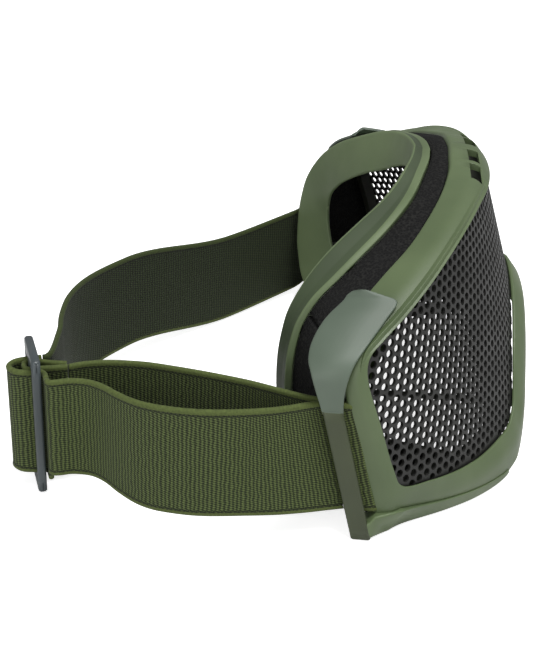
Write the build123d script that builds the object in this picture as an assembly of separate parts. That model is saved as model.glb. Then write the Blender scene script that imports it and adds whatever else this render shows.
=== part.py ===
from build123d import *
import math
import os

# Mesh safety goggles with a doubled elastic strap, lying as in the photograph, in millimetres.
# +Z is up, -Y is the way the wearer looks, -X is the wearer's right.
# The lens is drawn upright and then leaned back about the X axis.

UNIT = 100.0

# Lens: a piece of a round cylinder, standing on end and leaned back.
LENS_RADIUS = 125.0
LENS_THICKNESS = 1.0
LENS_CENTRE_Y = 61.1
LEAN_DEG = 18.8
LENS_DROP = 6.5
OPENING_HALF_ARC = 110.0
OPENING_TOP = 72.2
OPENING_BOTTOM = 3.4
LENS_OVERLAP = 1.5
LENS_CLEARANCE = 0.4
HOLE_PITCH = 9.4
HOLE_RADIUS = 3.4
HOLE_MARGIN = 5.6
HOLE_SIDES = 6
LENS_TOP_CUT = 90.0
LENS_BOTTOM_CUT = -10.0

# Front frame: the rigid rim in front of the lens, round to its rear edge.
LIP_LOW = 0.9
LIP_HIGH = 0.9
CREST_SHARE = 0.42
CREST_LOW = 0.4
CREST_RISE = 3.6
FRAME_WALL = 2.2
FLOOR_CUT = 4.0

# Brow vents: two windows on each side of the middle, cut down through the raised brow.
VENT_START = 3.0
VENT_WIDTH = 9.5
VENT_RIB = 2.0
VENT_COUNT = 2
VENT_FRONT = -34.4
VENT_REAR = -30.8
VENT_FLOOR = 81.5
VENT_HEIGHT = 16.0

# Inner frame: the ring that holds the lens from behind, with ribs to the face flange.
SEAT_REACH = 1.6
SEAT_WIDTH = 1.1
SEAT_DEPTH = 5.0
RIB_HALF_SPAN = 0.14
RIB_THICKNESS = 2.6
RIB_BITE = 1.0
RIB_GAP = 0.6
RIB_INSET = 0.5

# Face flange: a soft oval gutter whose rear ridge lies on the face.
LIP_THICKNESS = 1.6
WALL_THICKNESS = 2.0
RIM_IN = 6.0
RIM_THICKNESS = 1.6

# A place inside the goggle that the foam strips face.
MIDDLE_Y = -20.0
MIDDLE_Z = 58.0

# Foam strips between the flange and the front frame.
FOAM_THICKNESS = 3.4
FOAM_GAP = 0.3
FOAM_INSET = 1.1

# Elastic strap.
STRAP_THICKNESS = 1.4
STRAP_HEIGHT = 35.0
STRAP_BOTTOM_AT_CLIP = 7.8
STRAP_BOTTOM_AT_SLIDER = 4.7
STRAP_GAP = 0.3
WRAP_TAIL = 3.2
HEM_GAP = 0.9
HEM_START = 11.0
HEM_LENGTH = 18.0
TURN_STEPS = 12

# Strap clip at each temple.
CLIP_INNER_X = 98.3
CLIP_WALL = 2.4
BAR_TOP = 45.5
BAR_WIDTH = 4.5
BAR_BITE = 1.0
BAR_FRONT_AT_FLOOR = -5.1
BAR_LEAN = 0.2616
ARM_GAP = 0.35
ARM_THICKNESS = 1.8
ARM_ROOT = 1.8
ARM_START = 13.0
ARM_END = 17.4
ARM_STEPS = 10
ARM_TALL_SHARE = 0.5
ARM_TAPER_SHARE = 0.8
ARM_FRONT_Y = -11.0
ARM_DROP = 0.6
ARM_RAKE = 2.4

# The clip's plate over the temple: shares of the unit for its inner face, then its tilt in degrees.
# Each row holds x, z, front y and rear y.
PLATE_SHARES = [
    (0.983, 0.455, 0.049, 0.121, 0.0),
    (0.983, 0.510, 0.044, 0.142, 6.0),
    (0.970, 0.557, 0.028, 0.156, 26.0),
    (0.922, 0.601, -0.010, 0.146, 40.0),
    (0.868, 0.643, -0.050, 0.112, 40.0),
    (0.818, 0.677, -0.075, 0.062, 36.0),
    (0.792, 0.692, -0.045, 0.042, 36.0),
]

# Slider: a three-bar loop that doubles the strap.
SLIDER_NEAR_X = -89.2
SLIDER_NEAR_Y = 93.0
SLIDER_FAR_X = -75.5
SLIDER_FAR_Y = 98.6
SLIDER_BOTTOM = 0.0
SLIDER_TOP = 44.4
SLIDER_BAR = 3.0
SLIDER_THICKNESS = 2.6
SLIDER_END = 4.0

# Stations round the right half, from the middle of the brow over the temple to the nose.
# Each row holds shares: opening arc, opening height, frame edge x, y and z, swell.
STATION_SHARES = [
    (0.000, 0.983, 0.000, -0.255, 0.885, 1.00),
    (0.091, 0.984, 0.100, -0.250, 0.880, 0.95),
    (0.191, 0.987, 0.200, -0.243, 0.862, 0.60),
    (0.340, 1.000, 0.330, -0.212, 0.827, 0.40),
    (0.473, 0.986, 0.450, -0.170, 0.790, 0.38),
    (0.600, 0.956, 0.570, -0.112, 0.740, 0.35),
    (0.727, 0.910, 0.690, -0.036, 0.690, 0.30),
    (0.836, 0.868, 0.800, 0.030, 0.640, 0.25),
    (0.918, 0.837, 0.890, 0.068, 0.595, 0.15),
    (0.977, 0.801, 0.955, 0.065, 0.530, 0.05),
    (1.000, 0.706, 0.980, 0.045, 0.445, 0.05),
    (1.000, 0.503, 0.980, -0.010, 0.270, 0.05),
    (1.000, 0.299, 0.980, -0.060, 0.105, 0.05),
    (0.986, 0.195, 0.960, -0.086, 0.000, 0.10),
    (0.900, 0.134, 0.910, -0.144, -0.010, 0.25),
    (0.800, 0.077, 0.830, -0.275, -0.010, 0.35),
    (0.691, 0.032, 0.750, -0.380, -0.010, 0.40),
    (0.586, 0.010, 0.650, -0.468, -0.010, 0.40),
    (0.504, 0.003, 0.540, -0.526, -0.010, 0.40),
    (0.450, 0.038, 0.470, -0.548, 0.005, 0.40),
    (0.410, 0.100, 0.410, -0.560, 0.055, 0.45),
    (0.350, 0.206, 0.345, -0.566, 0.120, 0.45),
    (0.276, 0.304, 0.270, -0.566, 0.190, 0.50),
    (0.182, 0.387, 0.180, -0.564, 0.260, 0.55),
    (0.082, 0.442, 0.080, -0.562, 0.305, 0.60),
    (0.000, 0.454, 0.000, -0.560, 0.317, 0.60),
]

# The face flange at the same stations, as shares of the unit: ridge, rim and face edge, each x, y and z.
FLANGE_SHARES = [
    (0.000, -0.135, 0.875, 0.000, -0.175, 0.865, 0.000, -0.123, 0.785),
    (0.090, -0.125, 0.870, 0.100, -0.167, 0.860, 0.070, -0.110, 0.775),
    (0.180, -0.105, 0.860, 0.200, -0.147, 0.847, 0.140, -0.083, 0.750),
    (0.280, -0.073, 0.838, 0.310, -0.120, 0.823, 0.220, -0.040, 0.708),
    (0.370, -0.028, 0.805, 0.410, -0.085, 0.800, 0.290, 0.015, 0.670),
    (0.450, 0.040, 0.760, 0.500, -0.030, 0.755, 0.360, 0.060, 0.625),
    (0.525, 0.110, 0.710, 0.580, 0.040, 0.700, 0.420, 0.098, 0.580),
    (0.575, 0.165, 0.655, 0.630, 0.100, 0.645, 0.465, 0.120, 0.540),
    (0.603, 0.205, 0.595, 0.663, 0.155, 0.590, 0.495, 0.135, 0.503),
    (0.616, 0.235, 0.530, 0.683, 0.195, 0.520, 0.515, 0.140, 0.465),
    (0.620, 0.250, 0.465, 0.695, 0.213, 0.450, 0.525, 0.140, 0.425),
    (0.615, 0.260, 0.380, 0.700, 0.220, 0.380, 0.520, 0.135, 0.375),
    (0.600, 0.260, 0.270, 0.690, 0.220, 0.260, 0.505, 0.122, 0.315),
    (0.585, 0.250, 0.200, 0.675, 0.215, 0.180, 0.490, 0.110, 0.280),
    (0.560, 0.235, 0.135, 0.650, 0.195, 0.105, 0.470, 0.095, 0.245),
    (0.515, 0.205, 0.085, 0.600, 0.160, 0.050, 0.445, 0.075, 0.215),
    (0.455, 0.165, 0.060, 0.530, 0.115, 0.030, 0.420, 0.050, 0.195),
    (0.395, 0.120, 0.060, 0.460, 0.065, 0.030, 0.400, 0.030, 0.195),
    (0.340, 0.080, 0.080, 0.400, 0.030, 0.045, 0.385, 0.015, 0.210),
    (0.300, 0.045, 0.120, 0.355, 0.000, 0.080, 0.365, 0.000, 0.240),
    (0.270, 0.020, 0.170, 0.320, -0.030, 0.130, 0.340, -0.020, 0.280),
    (0.240, -0.010, 0.230, 0.285, -0.055, 0.190, 0.300, -0.045, 0.330),
    (0.200, -0.045, 0.290, 0.240, -0.085, 0.255, 0.245, -0.070, 0.385),
    (0.140, -0.080, 0.340, 0.170, -0.120, 0.310, 0.170, -0.095, 0.430),
    (0.070, -0.110, 0.375, 0.085, -0.150, 0.345, 0.085, -0.113, 0.460),
    (0.000, -0.120, 0.385, 0.000, -0.162, 0.355, 0.000, -0.120, 0.470),
]

LAST = len(STATION_SHARES) - 1
BROW_STATION = 8.6
CHEEK_START = 8.75
CHEEK_END = 16.4
RIB_STATIONS = (1.2, 3.6, 6.4, 9.4, 12.6, 15.6, 19.5, 23.0)

# Strap paths seen from above, as shares of the unit.
OUTER_PATH_SHARES = [
    (-1.017, 0.073), (-1.018, 0.120), (-1.024, 0.190), (-1.038, 0.300), (-1.047, 0.420), (-1.038, 0.530),
    (-1.015, 0.610), (-0.975, 0.675), (-0.930, 0.730), (-0.905, 0.780), (-0.903, 0.830), (-0.9155, 0.8650),
    (-0.9190, 0.8830), (-0.9125, 0.8930), (-0.9049, 0.8969),
]
INNER_PATH_SHARES = [
    (-0.973, 0.073), (-0.958, 0.115), (-0.930, 0.175), (-0.878, 0.300), (-0.838, 0.420), (-0.805, 0.540),
    (-0.784, 0.640), (-0.782, 0.740), (-0.796, 0.810), (-0.817, 0.853),
]
BACK_PATH_SHARES = [
    (0.973, 0.073), (0.955, 0.110), (0.880, 0.155), (0.668, 0.262), (0.360, 0.524), (0.082, 0.750), (-0.082, 0.863),
    (-0.226, 0.928), (-0.370, 0.955), (-0.500, 0.950), (-0.585, 0.935), (-0.640, 0.930), (-0.700, 0.9255),
    (-0.7450, 0.9260), (-0.7665, 0.9345), (-0.7704, 0.9430),
]
# How far the back length's lower edge drops below its two ends, as shares of the strap's height.
BACK_DROP_SHARES = [
    (0.0, 0.0), (0.18, 0.150), (0.36, 0.185), (0.62, 0.0), (0.80, -0.030), (1.0, 0.0),
]
PATH_STEPS = 4

# Strap paths round the slider's middle bar, as shares of the bar's width.
TURN_PATH_SHARES = [
    (1.45, -1.00), (1.40, -0.40), (1.40, 0.55), (1.15, 1.65), (0.20, 2.30), (-0.90, 1.75),
    (-1.38, 0.60), (-1.45, -0.35), (-1.90, -0.80), (-2.60, -0.86), (-3.15, -0.86),
]
HEM_PATH_SHARES = [
    (-1.10, -3.20), (-0.95, -1.60), (-0.83, -0.40), (-0.83, 0.30), (-0.50, 0.77), (0.50, 0.77),
    (0.83, 0.30), (0.83, -0.40), (0.20, -1.50), (-0.45, -3.20),
]


def leaned(x, y, z):
    """A point of the upright goggle, in its place once the goggle leans back."""
    a = math.radians(LEAN_DEG)
    return Vector(x, y * math.cos(a) + z * math.sin(a), z * math.cos(a) - y * math.sin(a) - LENS_DROP)


def on_lens(arc, height, above=0.0):
    """A point beside the lens: arc along it from the middle, height up it, and above its face."""
    a = arc / LENS_RADIUS
    r = LENS_RADIUS + above
    return leaned(-r * math.sin(a), LENS_CENTRE_Y - r * math.cos(a), height)


def between(table, k):
    """A table of stations, read on a smooth line through its rows."""
    low = max(0, min(int(k), LAST - 1))
    part = k - low
    out = []
    for i in range(len(table[low])):
        b = table[low][i]
        c = table[low + 1][i]
        a = table[low - 1][i] if low > 0 else b
        d = table[low + 2][i] if low < LAST - 1 else c
        curve = b + (c - a) * part / 2 + (2 * a - 5 * b + 4 * c - d) * part ** 2 / 2
        out.append(curve + (3 * b - a - 3 * c + d) * part ** 3 / 2)
    return out


def shares(k):
    return between(STATION_SHARES, k)


def opening_at(k):
    s = shares(k)
    return s[0] * OPENING_HALF_ARC, OPENING_BOTTOM + s[1] * (OPENING_TOP - OPENING_BOTTOM)


def opening_out(k):
    """The direction away from the opening at station k, along the lens."""
    step = 0.3
    a0, h0 = opening_at(max(k - step, 0))
    a1, h1 = opening_at(min(k + step, LAST))
    along_arc = a1 - a0
    along_height = h1 - h0
    if k <= 0:
        return 0.0, 1.0
    if k >= LAST:
        return 0.0, -1.0
    full = math.hypot(along_arc, along_height)
    return -along_height / full, along_arc / full


def beside(k, width, above):
    """A point at station k, width outside the opening's edge, and above the lens."""
    arc, height = opening_at(k)
    da, dh = opening_out(k)
    return on_lens(arc + da * width, height + dh * width, above)


def frame_edge(k):
    s = shares(k)
    return Vector(-s[2] * UNIT, s[3] * UNIT, s[4] * UNIT)


def frame_axes(k):
    """The frame's section at station k: its start, its way along the band, its way outwards and its length."""
    swell = shares(k)[5]
    start = beside(k, 0, LIP_LOW + LIP_HIGH * swell)
    band = frame_edge(k) - start
    along = band.normalized()
    lens_out = (beside(k, 0, 1) - beside(k, 0, 0)).normalized()
    out = (lens_out - along * lens_out.dot(along)).normalized()
    return start, along, out, band.length


def frame_point(k, share, rise):
    start, along, out, length = frame_axes(k)
    return start + along * (length * share) + out * rise


def crest_rise(k):
    return CREST_LOW + CREST_RISE * shares(k)[5]


def frame_section(k):
    crest = crest_rise(k)
    return [
        beside(k, 0, LENS_CLEARANCE),
        frame_point(k, 0, 0),
        frame_point(k, CREST_SHARE, crest),
        frame_point(k, 1, 0),
        frame_point(k, 1, -FRAME_WALL),
        frame_point(k, CREST_SHARE, crest - FRAME_WALL),
        beside(k, LENS_OVERLAP + LENS_CLEARANCE, LENS_CLEARANCE),
    ]


def seat_section(k):
    top = -LENS_THICKNESS - LENS_CLEARANCE
    return [
        beside(k, -SEAT_REACH, top),
        beside(k, SEAT_WIDTH, top),
        beside(k, SEAT_WIDTH, top - SEAT_DEPTH),
        beside(k, -SEAT_REACH, top - SEAT_DEPTH),
    ]


def flange_row(k):
    """The flange's ridge, rim and face edge at station k, on the wearer's right."""
    s = [share * UNIT for share in between(FLANGE_SHARES, k)]
    return [Vector(-s[i], s[i + 1], s[i + 2]) for i in (0, 3, 6)]


def flange_out(k):
    """The direction that points out of the rim at station k, seen from the front."""
    step = 0.3
    if k <= 0:
        return Vector(0, 0, 1)
    if k >= LAST:
        return Vector(0, 0, -1)
    along = flange_row(min(k + step, LAST))[1] - flange_row(max(k - step, 0))[1]
    return Vector(along.Z, 0, -along.X).normalized()


def rim_at(k, inward, forward):
    """A point beside the rim's outer edge: inward along it, and forward along -Y."""
    return flange_row(k)[1] - flange_out(k) * inward - Vector(0, forward, 0)


def flange_section(k):
    ridge, rim, face = flange_row(k)
    lip = (face - ridge).normalized()
    forward = across(Vector(0, -1, 0), lip)
    return [
        ridge,
        rim,
        rim_at(k, 0, RIM_THICKNESS),
        rim_at(k, RIM_IN, RIM_THICKNESS),
        ridge + forward * LIP_THICKNESS + lip * WALL_THICKNESS,
        face + forward * LIP_THICKNESS,
        face,
    ]


def strip_section(k, thickness):
    """A foam section between the flange's rim and the frame's rear edge."""
    rim = rim_at(k, FOAM_INSET, RIM_THICKNESS)
    edge = frame_point(k, 1, -FOAM_INSET)
    way = (edge - rim).normalized()
    inward = across(Vector(0, MIDDLE_Y, MIDDLE_Z) - edge, way)
    a = rim + way * FOAM_GAP
    b = edge - way * FOAM_GAP
    return [a, b, b + inward * thickness, a + inward * thickness]


def rib(k):
    """A rib from the inner frame to the flange's rim."""
    def section(j):
        half = RIB_THICKNESS / 2
        low = -LENS_THICKNESS - LENS_CLEARANCE - SEAT_DEPTH
        a = rim_at(j, RIM_IN - half - RIB_INSET, RIM_THICKNESS + RIB_GAP)
        b = beside(j, SEAT_WIDTH - half - FOAM_GAP, low + RIB_BITE)
        way = (b - a).normalized()
        side = across(beside(j, UNIT, 0) - b, way) * half
        return [a - side, a + side, b + side, b - side]
    return loft([section(k - RIB_HALF_SPAN), section(k), section(k + RIB_HALF_SPAN)])


def across(v, way):
    """The part of a direction that is square to the way, one long."""
    return (v - way * v.dot(way)).normalized()


def loft(sections):
    """A solid with straight sides through one closed section after another."""
    return Solid.make_loft([Wire.make_polygon(s, close=True) for s in sections], True)


def span(first, last, count):
    return [first + (last - first) * i / count for i in range(count + 1)]


def mirrored(solid):
    return mirror(solid, about=Plane.YZ)


def both(solid):
    """A right half and its mirror image, joined at the middle."""
    return solid + mirrored(solid)


def above_floor(solid):
    floor = Box(4 * UNIT, 4 * UNIT, FLOOR_CUT, align=(Align.CENTER, Align.CENTER, Align.MAX))
    return solid - floor


def largest(shape):
    """The piece itself, without the crumbs that a cut leaves."""
    return max(shape.solids(), key=lambda solid: solid.volume)


def smooth(points, steps):
    """A path through the points, with rounded bends."""
    out = []
    for i in range(len(points) - 1):
        p0 = points[max(i - 1, 0)]
        p1 = points[i]
        p2 = points[i + 1]
        p3 = points[min(i + 2, len(points) - 1)]
        for j in range(steps):
            t = j / steps
            out.append(tuple(
                (2 * b + (c - a) * t + (2 * a - 5 * b + 4 * c - d) * t * t + (3 * b - a - 3 * c + d) * t ** 3) / 2
                for a, b, c, d in zip(p0, p1, p2, p3)
            ))
    out.append(points[-1])
    return out


def ribbon(rows):
    """A band on edge: each row is its bottom x, y, z and its top x, y, z."""
    sections = []
    count = len(rows)
    for i, row in enumerate(rows):
        a = rows[max(i - 1, 0)]
        b = rows[min(i + 1, count - 1)]
        back = a[1] + a[4] - b[1] - b[4]
        side = Vector(back, b[0] + b[3] - a[0] - a[3], 0).normalized() * (STRAP_THICKNESS / 2)
        low = Vector(*row[:3])
        top = Vector(*row[3:])
        sections.append([low - side, low + side, top + side, top - side])
    return loft(sections)


def between_shares(table, part):
    """A table of two shares, the second read at a place given by the first."""
    for (a, low), (b, high) in zip(table, table[1:]):
        if part <= b:
            return low + (high - low) * (part - a) / (b - a)
    return table[-1][1]


def strap_rows(path, drops):
    """Rows for a path seen from above, between the clip's height and the slider's, with any drop."""
    rows = []
    run = [0.0]
    for a, b in zip(path, path[1:]):
        run.append(run[-1] + math.hypot(b[0] - a[0], b[1] - a[1]))
    for (x, y), r in zip(path, run):
        part = r / run[-1]
        low = STRAP_BOTTOM_AT_CLIP + (STRAP_BOTTOM_AT_SLIDER - STRAP_BOTTOM_AT_CLIP) * part
        low -= between_shares(drops, part) * STRAP_HEIGHT
        lean = BAR_LEAN * max(0.0, 1 - r / (UNIT * BAR_LEAN)) * STRAP_HEIGHT / 2
        rows.append((x, y - lean, low, x, y + lean, low + STRAP_HEIGHT))
    return rows


def scaled(path):
    return [(x * UNIT, y * UNIT) for x, y in path]


def bar_middle(z):
    return BAR_FRONT_AT_FLOOR + BAR_WIDTH / 2 + BAR_LEAN * z


def wrap_rows(side):
    """The strap's turn round the clip's bar."""
    x0 = CLIP_INNER_X + CLIP_WALL / 2
    reach_x = CLIP_WALL / 2 + STRAP_GAP + STRAP_THICKNESS / 2
    reach_y = BAR_WIDTH / 2 + STRAP_GAP + STRAP_THICKNESS / 2
    rows = []
    offsets = [(reach_x, WRAP_TAIL)]
    for i in range(TURN_STEPS + 1):
        a = math.pi * i / TURN_STEPS
        flat = math.copysign(math.sqrt(abs(math.cos(a))), math.cos(a))
        offsets.append((reach_x * flat, -reach_y * math.sqrt(abs(math.sin(a)))))
    offsets.append((-reach_x, WRAP_TAIL))
    for dx, dy in offsets:
        x = side * (x0 + dx)
        low = STRAP_BOTTOM_AT_CLIP
        top = low + STRAP_HEIGHT
        rows.append((x, bar_middle(low) + dy, low, x, bar_middle(top) + dy, top))
    return rows


def hem_rows(path):
    """The left turn's free end, sewn flat on the back length of strap."""
    x0 = CLIP_INNER_X + CLIP_WALL + STRAP_GAP + STRAP_THICKNESS / 2
    away = STRAP_THICKNESS + HEM_GAP
    low = STRAP_BOTTOM_AT_CLIP
    top = low + STRAP_HEIGHT
    middle = bar_middle((low + top) / 2) + WRAP_TAIL + STRAP_GAP
    full = BAR_LEAN * (top - low) / 2
    rows = [(x0, middle + d - full, low, x0, middle + d + full, top) for d in (0.0, STRAP_THICKNESS)]
    run = 0.0
    whole = sum(math.hypot(b[0] - a[0], b[1] - a[1]) for a, b in zip(path, path[1:]))
    for a, b in zip(path, path[1:]):
        step = math.hypot(b[0] - a[0], b[1] - a[1])
        run += step
        drop = between_shares(BACK_DROP_SHARES, run / whole) * STRAP_HEIGHT
        drop += (STRAP_BOTTOM_AT_CLIP - STRAP_BOTTOM_AT_SLIDER) * run / whole
        if HEM_START < run < HEM_START + HEM_LENGTH:
            x = b[0] - (a[1] - b[1]) / step * away
            y = b[1] - (b[0] - a[0]) / step * away
            lean = full * max(0.0, 1 - run / (UNIT * BAR_LEAN))
            rows.append((x, y - lean, low - drop, x, y + lean, top - drop))
    return rows


def slab(z, front, rear, inner, outer):
    return [Vector(-inner, front, z), Vector(-outer, front, z), Vector(-outer, rear, z), Vector(-inner, rear, z)]


def plate_section(row):
    """The plate's section at one row of its table."""
    x, z, front, rear = [share * UNIT for share in row[:4]]
    tilt = math.radians(row[4])
    out = Vector(-CLIP_WALL * math.cos(tilt), 0, CLIP_WALL * math.sin(tilt))
    corners = [Vector(-x, front, z), Vector(-x, rear, z)]
    return [corners[0], corners[0] + out, corners[1] + out, corners[1]]


def clip():
    """The wearer's right clip: a bar for the strap, a plate above it and an arm along the frame."""
    inner = CLIP_INNER_X
    outer = CLIP_INNER_X + CLIP_WALL
    top = BAR_TOP + BAR_BITE
    lean = BAR_LEAN * top
    bar = loft([
        slab(0, BAR_FRONT_AT_FLOOR, BAR_FRONT_AT_FLOOR + BAR_WIDTH, inner, outer),
        slab(top, BAR_FRONT_AT_FLOOR + lean, BAR_FRONT_AT_FLOOR + lean + BAR_WIDTH, inner, outer),
    ])
    plate = loft([plate_section(row) for row in PLATE_SHARES])
    arm = loft([arm_section(k) for k in span(ARM_START, ARM_END, ARM_STEPS)])
    foot = loft([
        slab(0, ARM_FRONT_Y, BAR_FRONT_AT_FLOOR + BAR_WIDTH / 2, inner, outer),
        slab(STRAP_BOTTOM_AT_CLIP - ARM_DROP, ARM_FRONT_Y + ARM_RAKE, BAR_FRONT_AT_FLOOR + BAR_WIDTH / 2 + ARM_RAKE, inner, outer),
    ])
    return above_floor(bar + plate + foot + arm)


def arm_section(k):
    """The clip's arm beside the frame's lower outer face."""
    part = (k - ARM_START) / (ARM_END - ARM_START)
    high = 1 - (1 - ARM_TALL_SHARE) * (1 - part * ARM_TAPER_SHARE)
    rise = ARM_GAP + crest_rise(k) * (1 - high) / (1 - CREST_SHARE)
    thickness = ARM_THICKNESS + ARM_ROOT * (1 - part)
    return [
        frame_point(k, high, rise),
        frame_point(k, 1, ARM_GAP),
        frame_point(k, 1, ARM_GAP + thickness),
        frame_point(k, high, rise + thickness),
    ]


def slider_axes():
    way = Vector(SLIDER_FAR_X - SLIDER_NEAR_X, SLIDER_FAR_Y - SLIDER_NEAR_Y, 0)
    return Vector(SLIDER_NEAR_X, SLIDER_NEAR_Y, 0), way.normalized(), way.length


def slider_at(along, out):
    """A place seen from above beside the slider: along it from the near bar, and out of its rear face."""
    start, way, length = slider_axes()
    side = Vector(-way.Y, way.X, 0)
    p = start + way * along + side * out
    return p.X, p.Y


def slider():
    start, way, length = slider_axes()
    half = SLIDER_BAR / 2
    t = SLIDER_THICKNESS / 2
    corners = [slider_at(-half, -t), slider_at(length + half, -t), slider_at(length + half, t), slider_at(-half, t)]
    body = loft([[Vector(x, y, z) for x, y in corners] for z in (SLIDER_BOTTOM, SLIDER_TOP)])
    for middle in (length / 4, 3 * length / 4):
        w = length / 4 - half
        ring = [slider_at(middle - w, -3 * t), slider_at(middle + w, -3 * t)]
        ring += [slider_at(middle + w, 3 * t), slider_at(middle - w, 3 * t)]
        body -= loft([[Vector(x, y, z) for x, y in ring] for z in (SLIDER_BOTTOM + SLIDER_END, SLIDER_TOP - SLIDER_END)])
    return body


def band_round_slider(path_shares):
    """Strap rows for a path given beside the slider's middle bar, in shares of its bar width."""
    start, way, length = slider_axes()
    places = smooth([(u * SLIDER_BAR, v * SLIDER_BAR) for u, v in path_shares], PATH_STEPS)
    seen = [slider_at(length / 2 + u, v) for u, v in places]
    low = STRAP_BOTTOM_AT_SLIDER
    return [(x, y, low, x, y, low + STRAP_HEIGHT) for x, y in seen]


def inside(arc, height, outline):
    """Whether a place on the lens is inside an outline and clear of its edge."""
    hit = False
    for (a0, h0), (a1, h1) in zip(outline, outline[1:] + outline[:1]):
        if (h0 > height) != (h1 > height):
            if arc < a0 + (height - h0) * (a1 - a0) / (h1 - h0):
                hit = not hit
        full = math.hypot(a1 - a0, h1 - h0)
        if full > 0:
            t = ((arc - a0) * (a1 - a0) + (height - h0) * (h1 - h0)) / full ** 2
            t = max(0.0, min(1.0, t))
            if math.hypot(arc - a0 - (a1 - a0) * t, height - h0 - (h1 - h0) * t) < HOLE_MARGIN - LENS_OVERLAP:
                return False
    return hit


def hole_places():
    """Middles of the holes: level rows, each set half a pitch beside the last."""
    right = [opening_at(k / 2) for k in range(2 * LAST + 1)]
    outline = right + [(-a, h) for a, h in reversed(right[1:-1])]
    rise = HOLE_PITCH * math.sqrt(3) / 2
    rows = int((OPENING_TOP - OPENING_BOTTOM) / rise) + 1
    count = int(OPENING_HALF_ARC / HOLE_PITCH) + 1
    places = []
    for row in range(rows):
        height = OPENING_TOP - HOLE_MARGIN - row * rise
        offset = HOLE_PITCH / 2 if row % 2 else 0.0
        for i in range(-count, count + 1):
            arc = i * HOLE_PITCH + offset
            if inside(arc, height, outline):
                places.append((arc, height))
    return places


def hole_wire(arc, height):
    """One hole's outline, seen along the lens's middle."""
    points = []
    for i in range(HOLE_SIDES):
        turn = 2 * math.pi * (i + 1 / 2) / HOLE_SIDES
        a = (arc + HOLE_RADIUS * math.cos(turn)) / LENS_RADIUS
        points.append(Vector(LENS_RADIUS * math.sin(a), 0, height + HOLE_RADIUS * math.sin(turn)))
    return Wire.make_polygon(points, close=True)


def lens_blank(holes):
    """The opening's outline grown by the overlap and bent as the cylinder, with its holes cut."""
    rows = [k / 2 for k in range(2 * LAST + 1)]
    outline = [beside(k, LENS_OVERLAP, 0) for k in rows]
    a = math.radians(LEAN_DEG)
    flat = []
    for p in outline:
        z = p.Y * math.sin(a) + (p.Z + LENS_DROP) * math.cos(a)
        flat.append((p.X, z))
    right = flat
    left = [(-x, z) for x, z in reversed(flat[1:-1])]
    face = Face(Wire.make_polygon([Vector(x, 0, z) for x, z in right + left], close=True), holes)
    block = Solid.extrude(face, Vector(0, -2 * UNIT, 0))
    height = LENS_TOP_CUT - LENS_BOTTOM_CUT
    disc = Pos(0, LENS_CENTRE_Y, LENS_BOTTOM_CUT) * Cylinder(
        LENS_RADIUS, height, align=(Align.CENTER, Align.CENTER, Align.MIN))
    core = Pos(0, LENS_CENTRE_Y, LENS_BOTTOM_CUT) * Cylinder(
        LENS_RADIUS - LENS_THICKNESS, height, align=(Align.CENTER, Align.CENTER, Align.MIN))
    shell = (disc - core) & block
    return Pos(0, 0, -LENS_DROP) * Rot(-LEAN_DEG, 0, 0) * shell


def vents():
    """The cutters for the windows in the brow, on the wearer's right."""
    cutters = []
    for i in range(VENT_COUNT):
        near = VENT_START + i * (VENT_WIDTH + VENT_RIB)
        outline = [(-near, VENT_FRONT), (-near - VENT_WIDTH, VENT_FRONT), (-near - VENT_WIDTH, VENT_REAR), (-near, VENT_REAR)]
        cutters.append(loft([[Vector(x, y, z) for x, y in outline] for z in (VENT_FLOOR, VENT_FLOOR + VENT_HEIGHT)]))
    return cutters


if __name__ == "__main__":
    os.makedirs("parts", exist_ok=True)
    stations = [float(i) for i in range(LAST + 1)]
    ring_stations = [k / 2 for k in range(2 * LAST + 1)]
    flange = both(loft([flange_section(k) for k in ring_stations]))
    frame = above_floor(both(loft([frame_section(k) for k in ring_stations])))
    for window in vents():
        frame = frame - window - mirrored(window)
    lens = lens_blank([hole_wire(a, h) for a, h in hole_places()])
    seat = both(loft([seat_section(k) for k in ring_stations]))
    for k in RIB_STATIONS:
        one = rib(k)
        seat = seat + one + mirrored(one)
    seat = largest(seat - frame - flange)
    brow_foam = both(loft([strip_section(k, FOAM_THICKNESS) for k in span(0, BROW_STATION, 16)]))
    cheek = above_floor(loft([strip_section(k, FOAM_THICKNESS) for k in span(CHEEK_START, CHEEK_END, 12)]))
    brow_foam = largest(brow_foam - frame - flange - seat)
    cheek = largest(cheek - frame - flange - seat)
    right_clip = clip()
    outer = smooth(scaled(OUTER_PATH_SHARES), PATH_STEPS)
    inner = smooth(scaled(INNER_PATH_SHARES), PATH_STEPS)
    back = smooth(scaled(BACK_PATH_SHARES), PATH_STEPS)
    level = [(0.0, 0.0), (1.0, 0.0)]
    parts = dict(
        front_frame=frame,
        mesh_lens=lens,
        inner_frame=seat,
        face_flange=flange,
        brow_foam=brow_foam,
        right_cheek_foam=cheek,
        left_cheek_foam=mirrored(cheek),
        right_clip=right_clip,
        left_clip=mirrored(right_clip),
        right_strap_wrap=ribbon(wrap_rows(-1)),
        left_strap_wrap=ribbon(wrap_rows(1)),
        left_strap_hem=ribbon(hem_rows(back)),
        outer_strap=ribbon(strap_rows(outer, level)),
        inner_strap=ribbon(strap_rows(inner, level)),
        back_strap=ribbon(strap_rows(back, BACK_DROP_SHARES)),
        slider=slider(),
        strap_turn=ribbon(band_round_slider(TURN_PATH_SHARES)),
        slider_hem=ribbon(band_round_slider(HEM_PATH_SHARES)),
    )
    box = Compound(list(parts.values())).bounding_box()
    shift = (-(box.min.X + box.max.X) / 2, -(box.min.Y + box.max.Y) / 2, -box.min.Z)
    print("moved by", shift)
    for name, solid in parts.items():
        solid = Pos(*shift) * solid
        print(name, solid.is_valid, round(solid.volume), len(solid.solids()), solid.bounding_box())
        export_step(solid, f"parts/{name}.step")
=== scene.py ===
import math
import bpy
import numpy as np
from mathutils import Matrix, Vector


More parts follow.
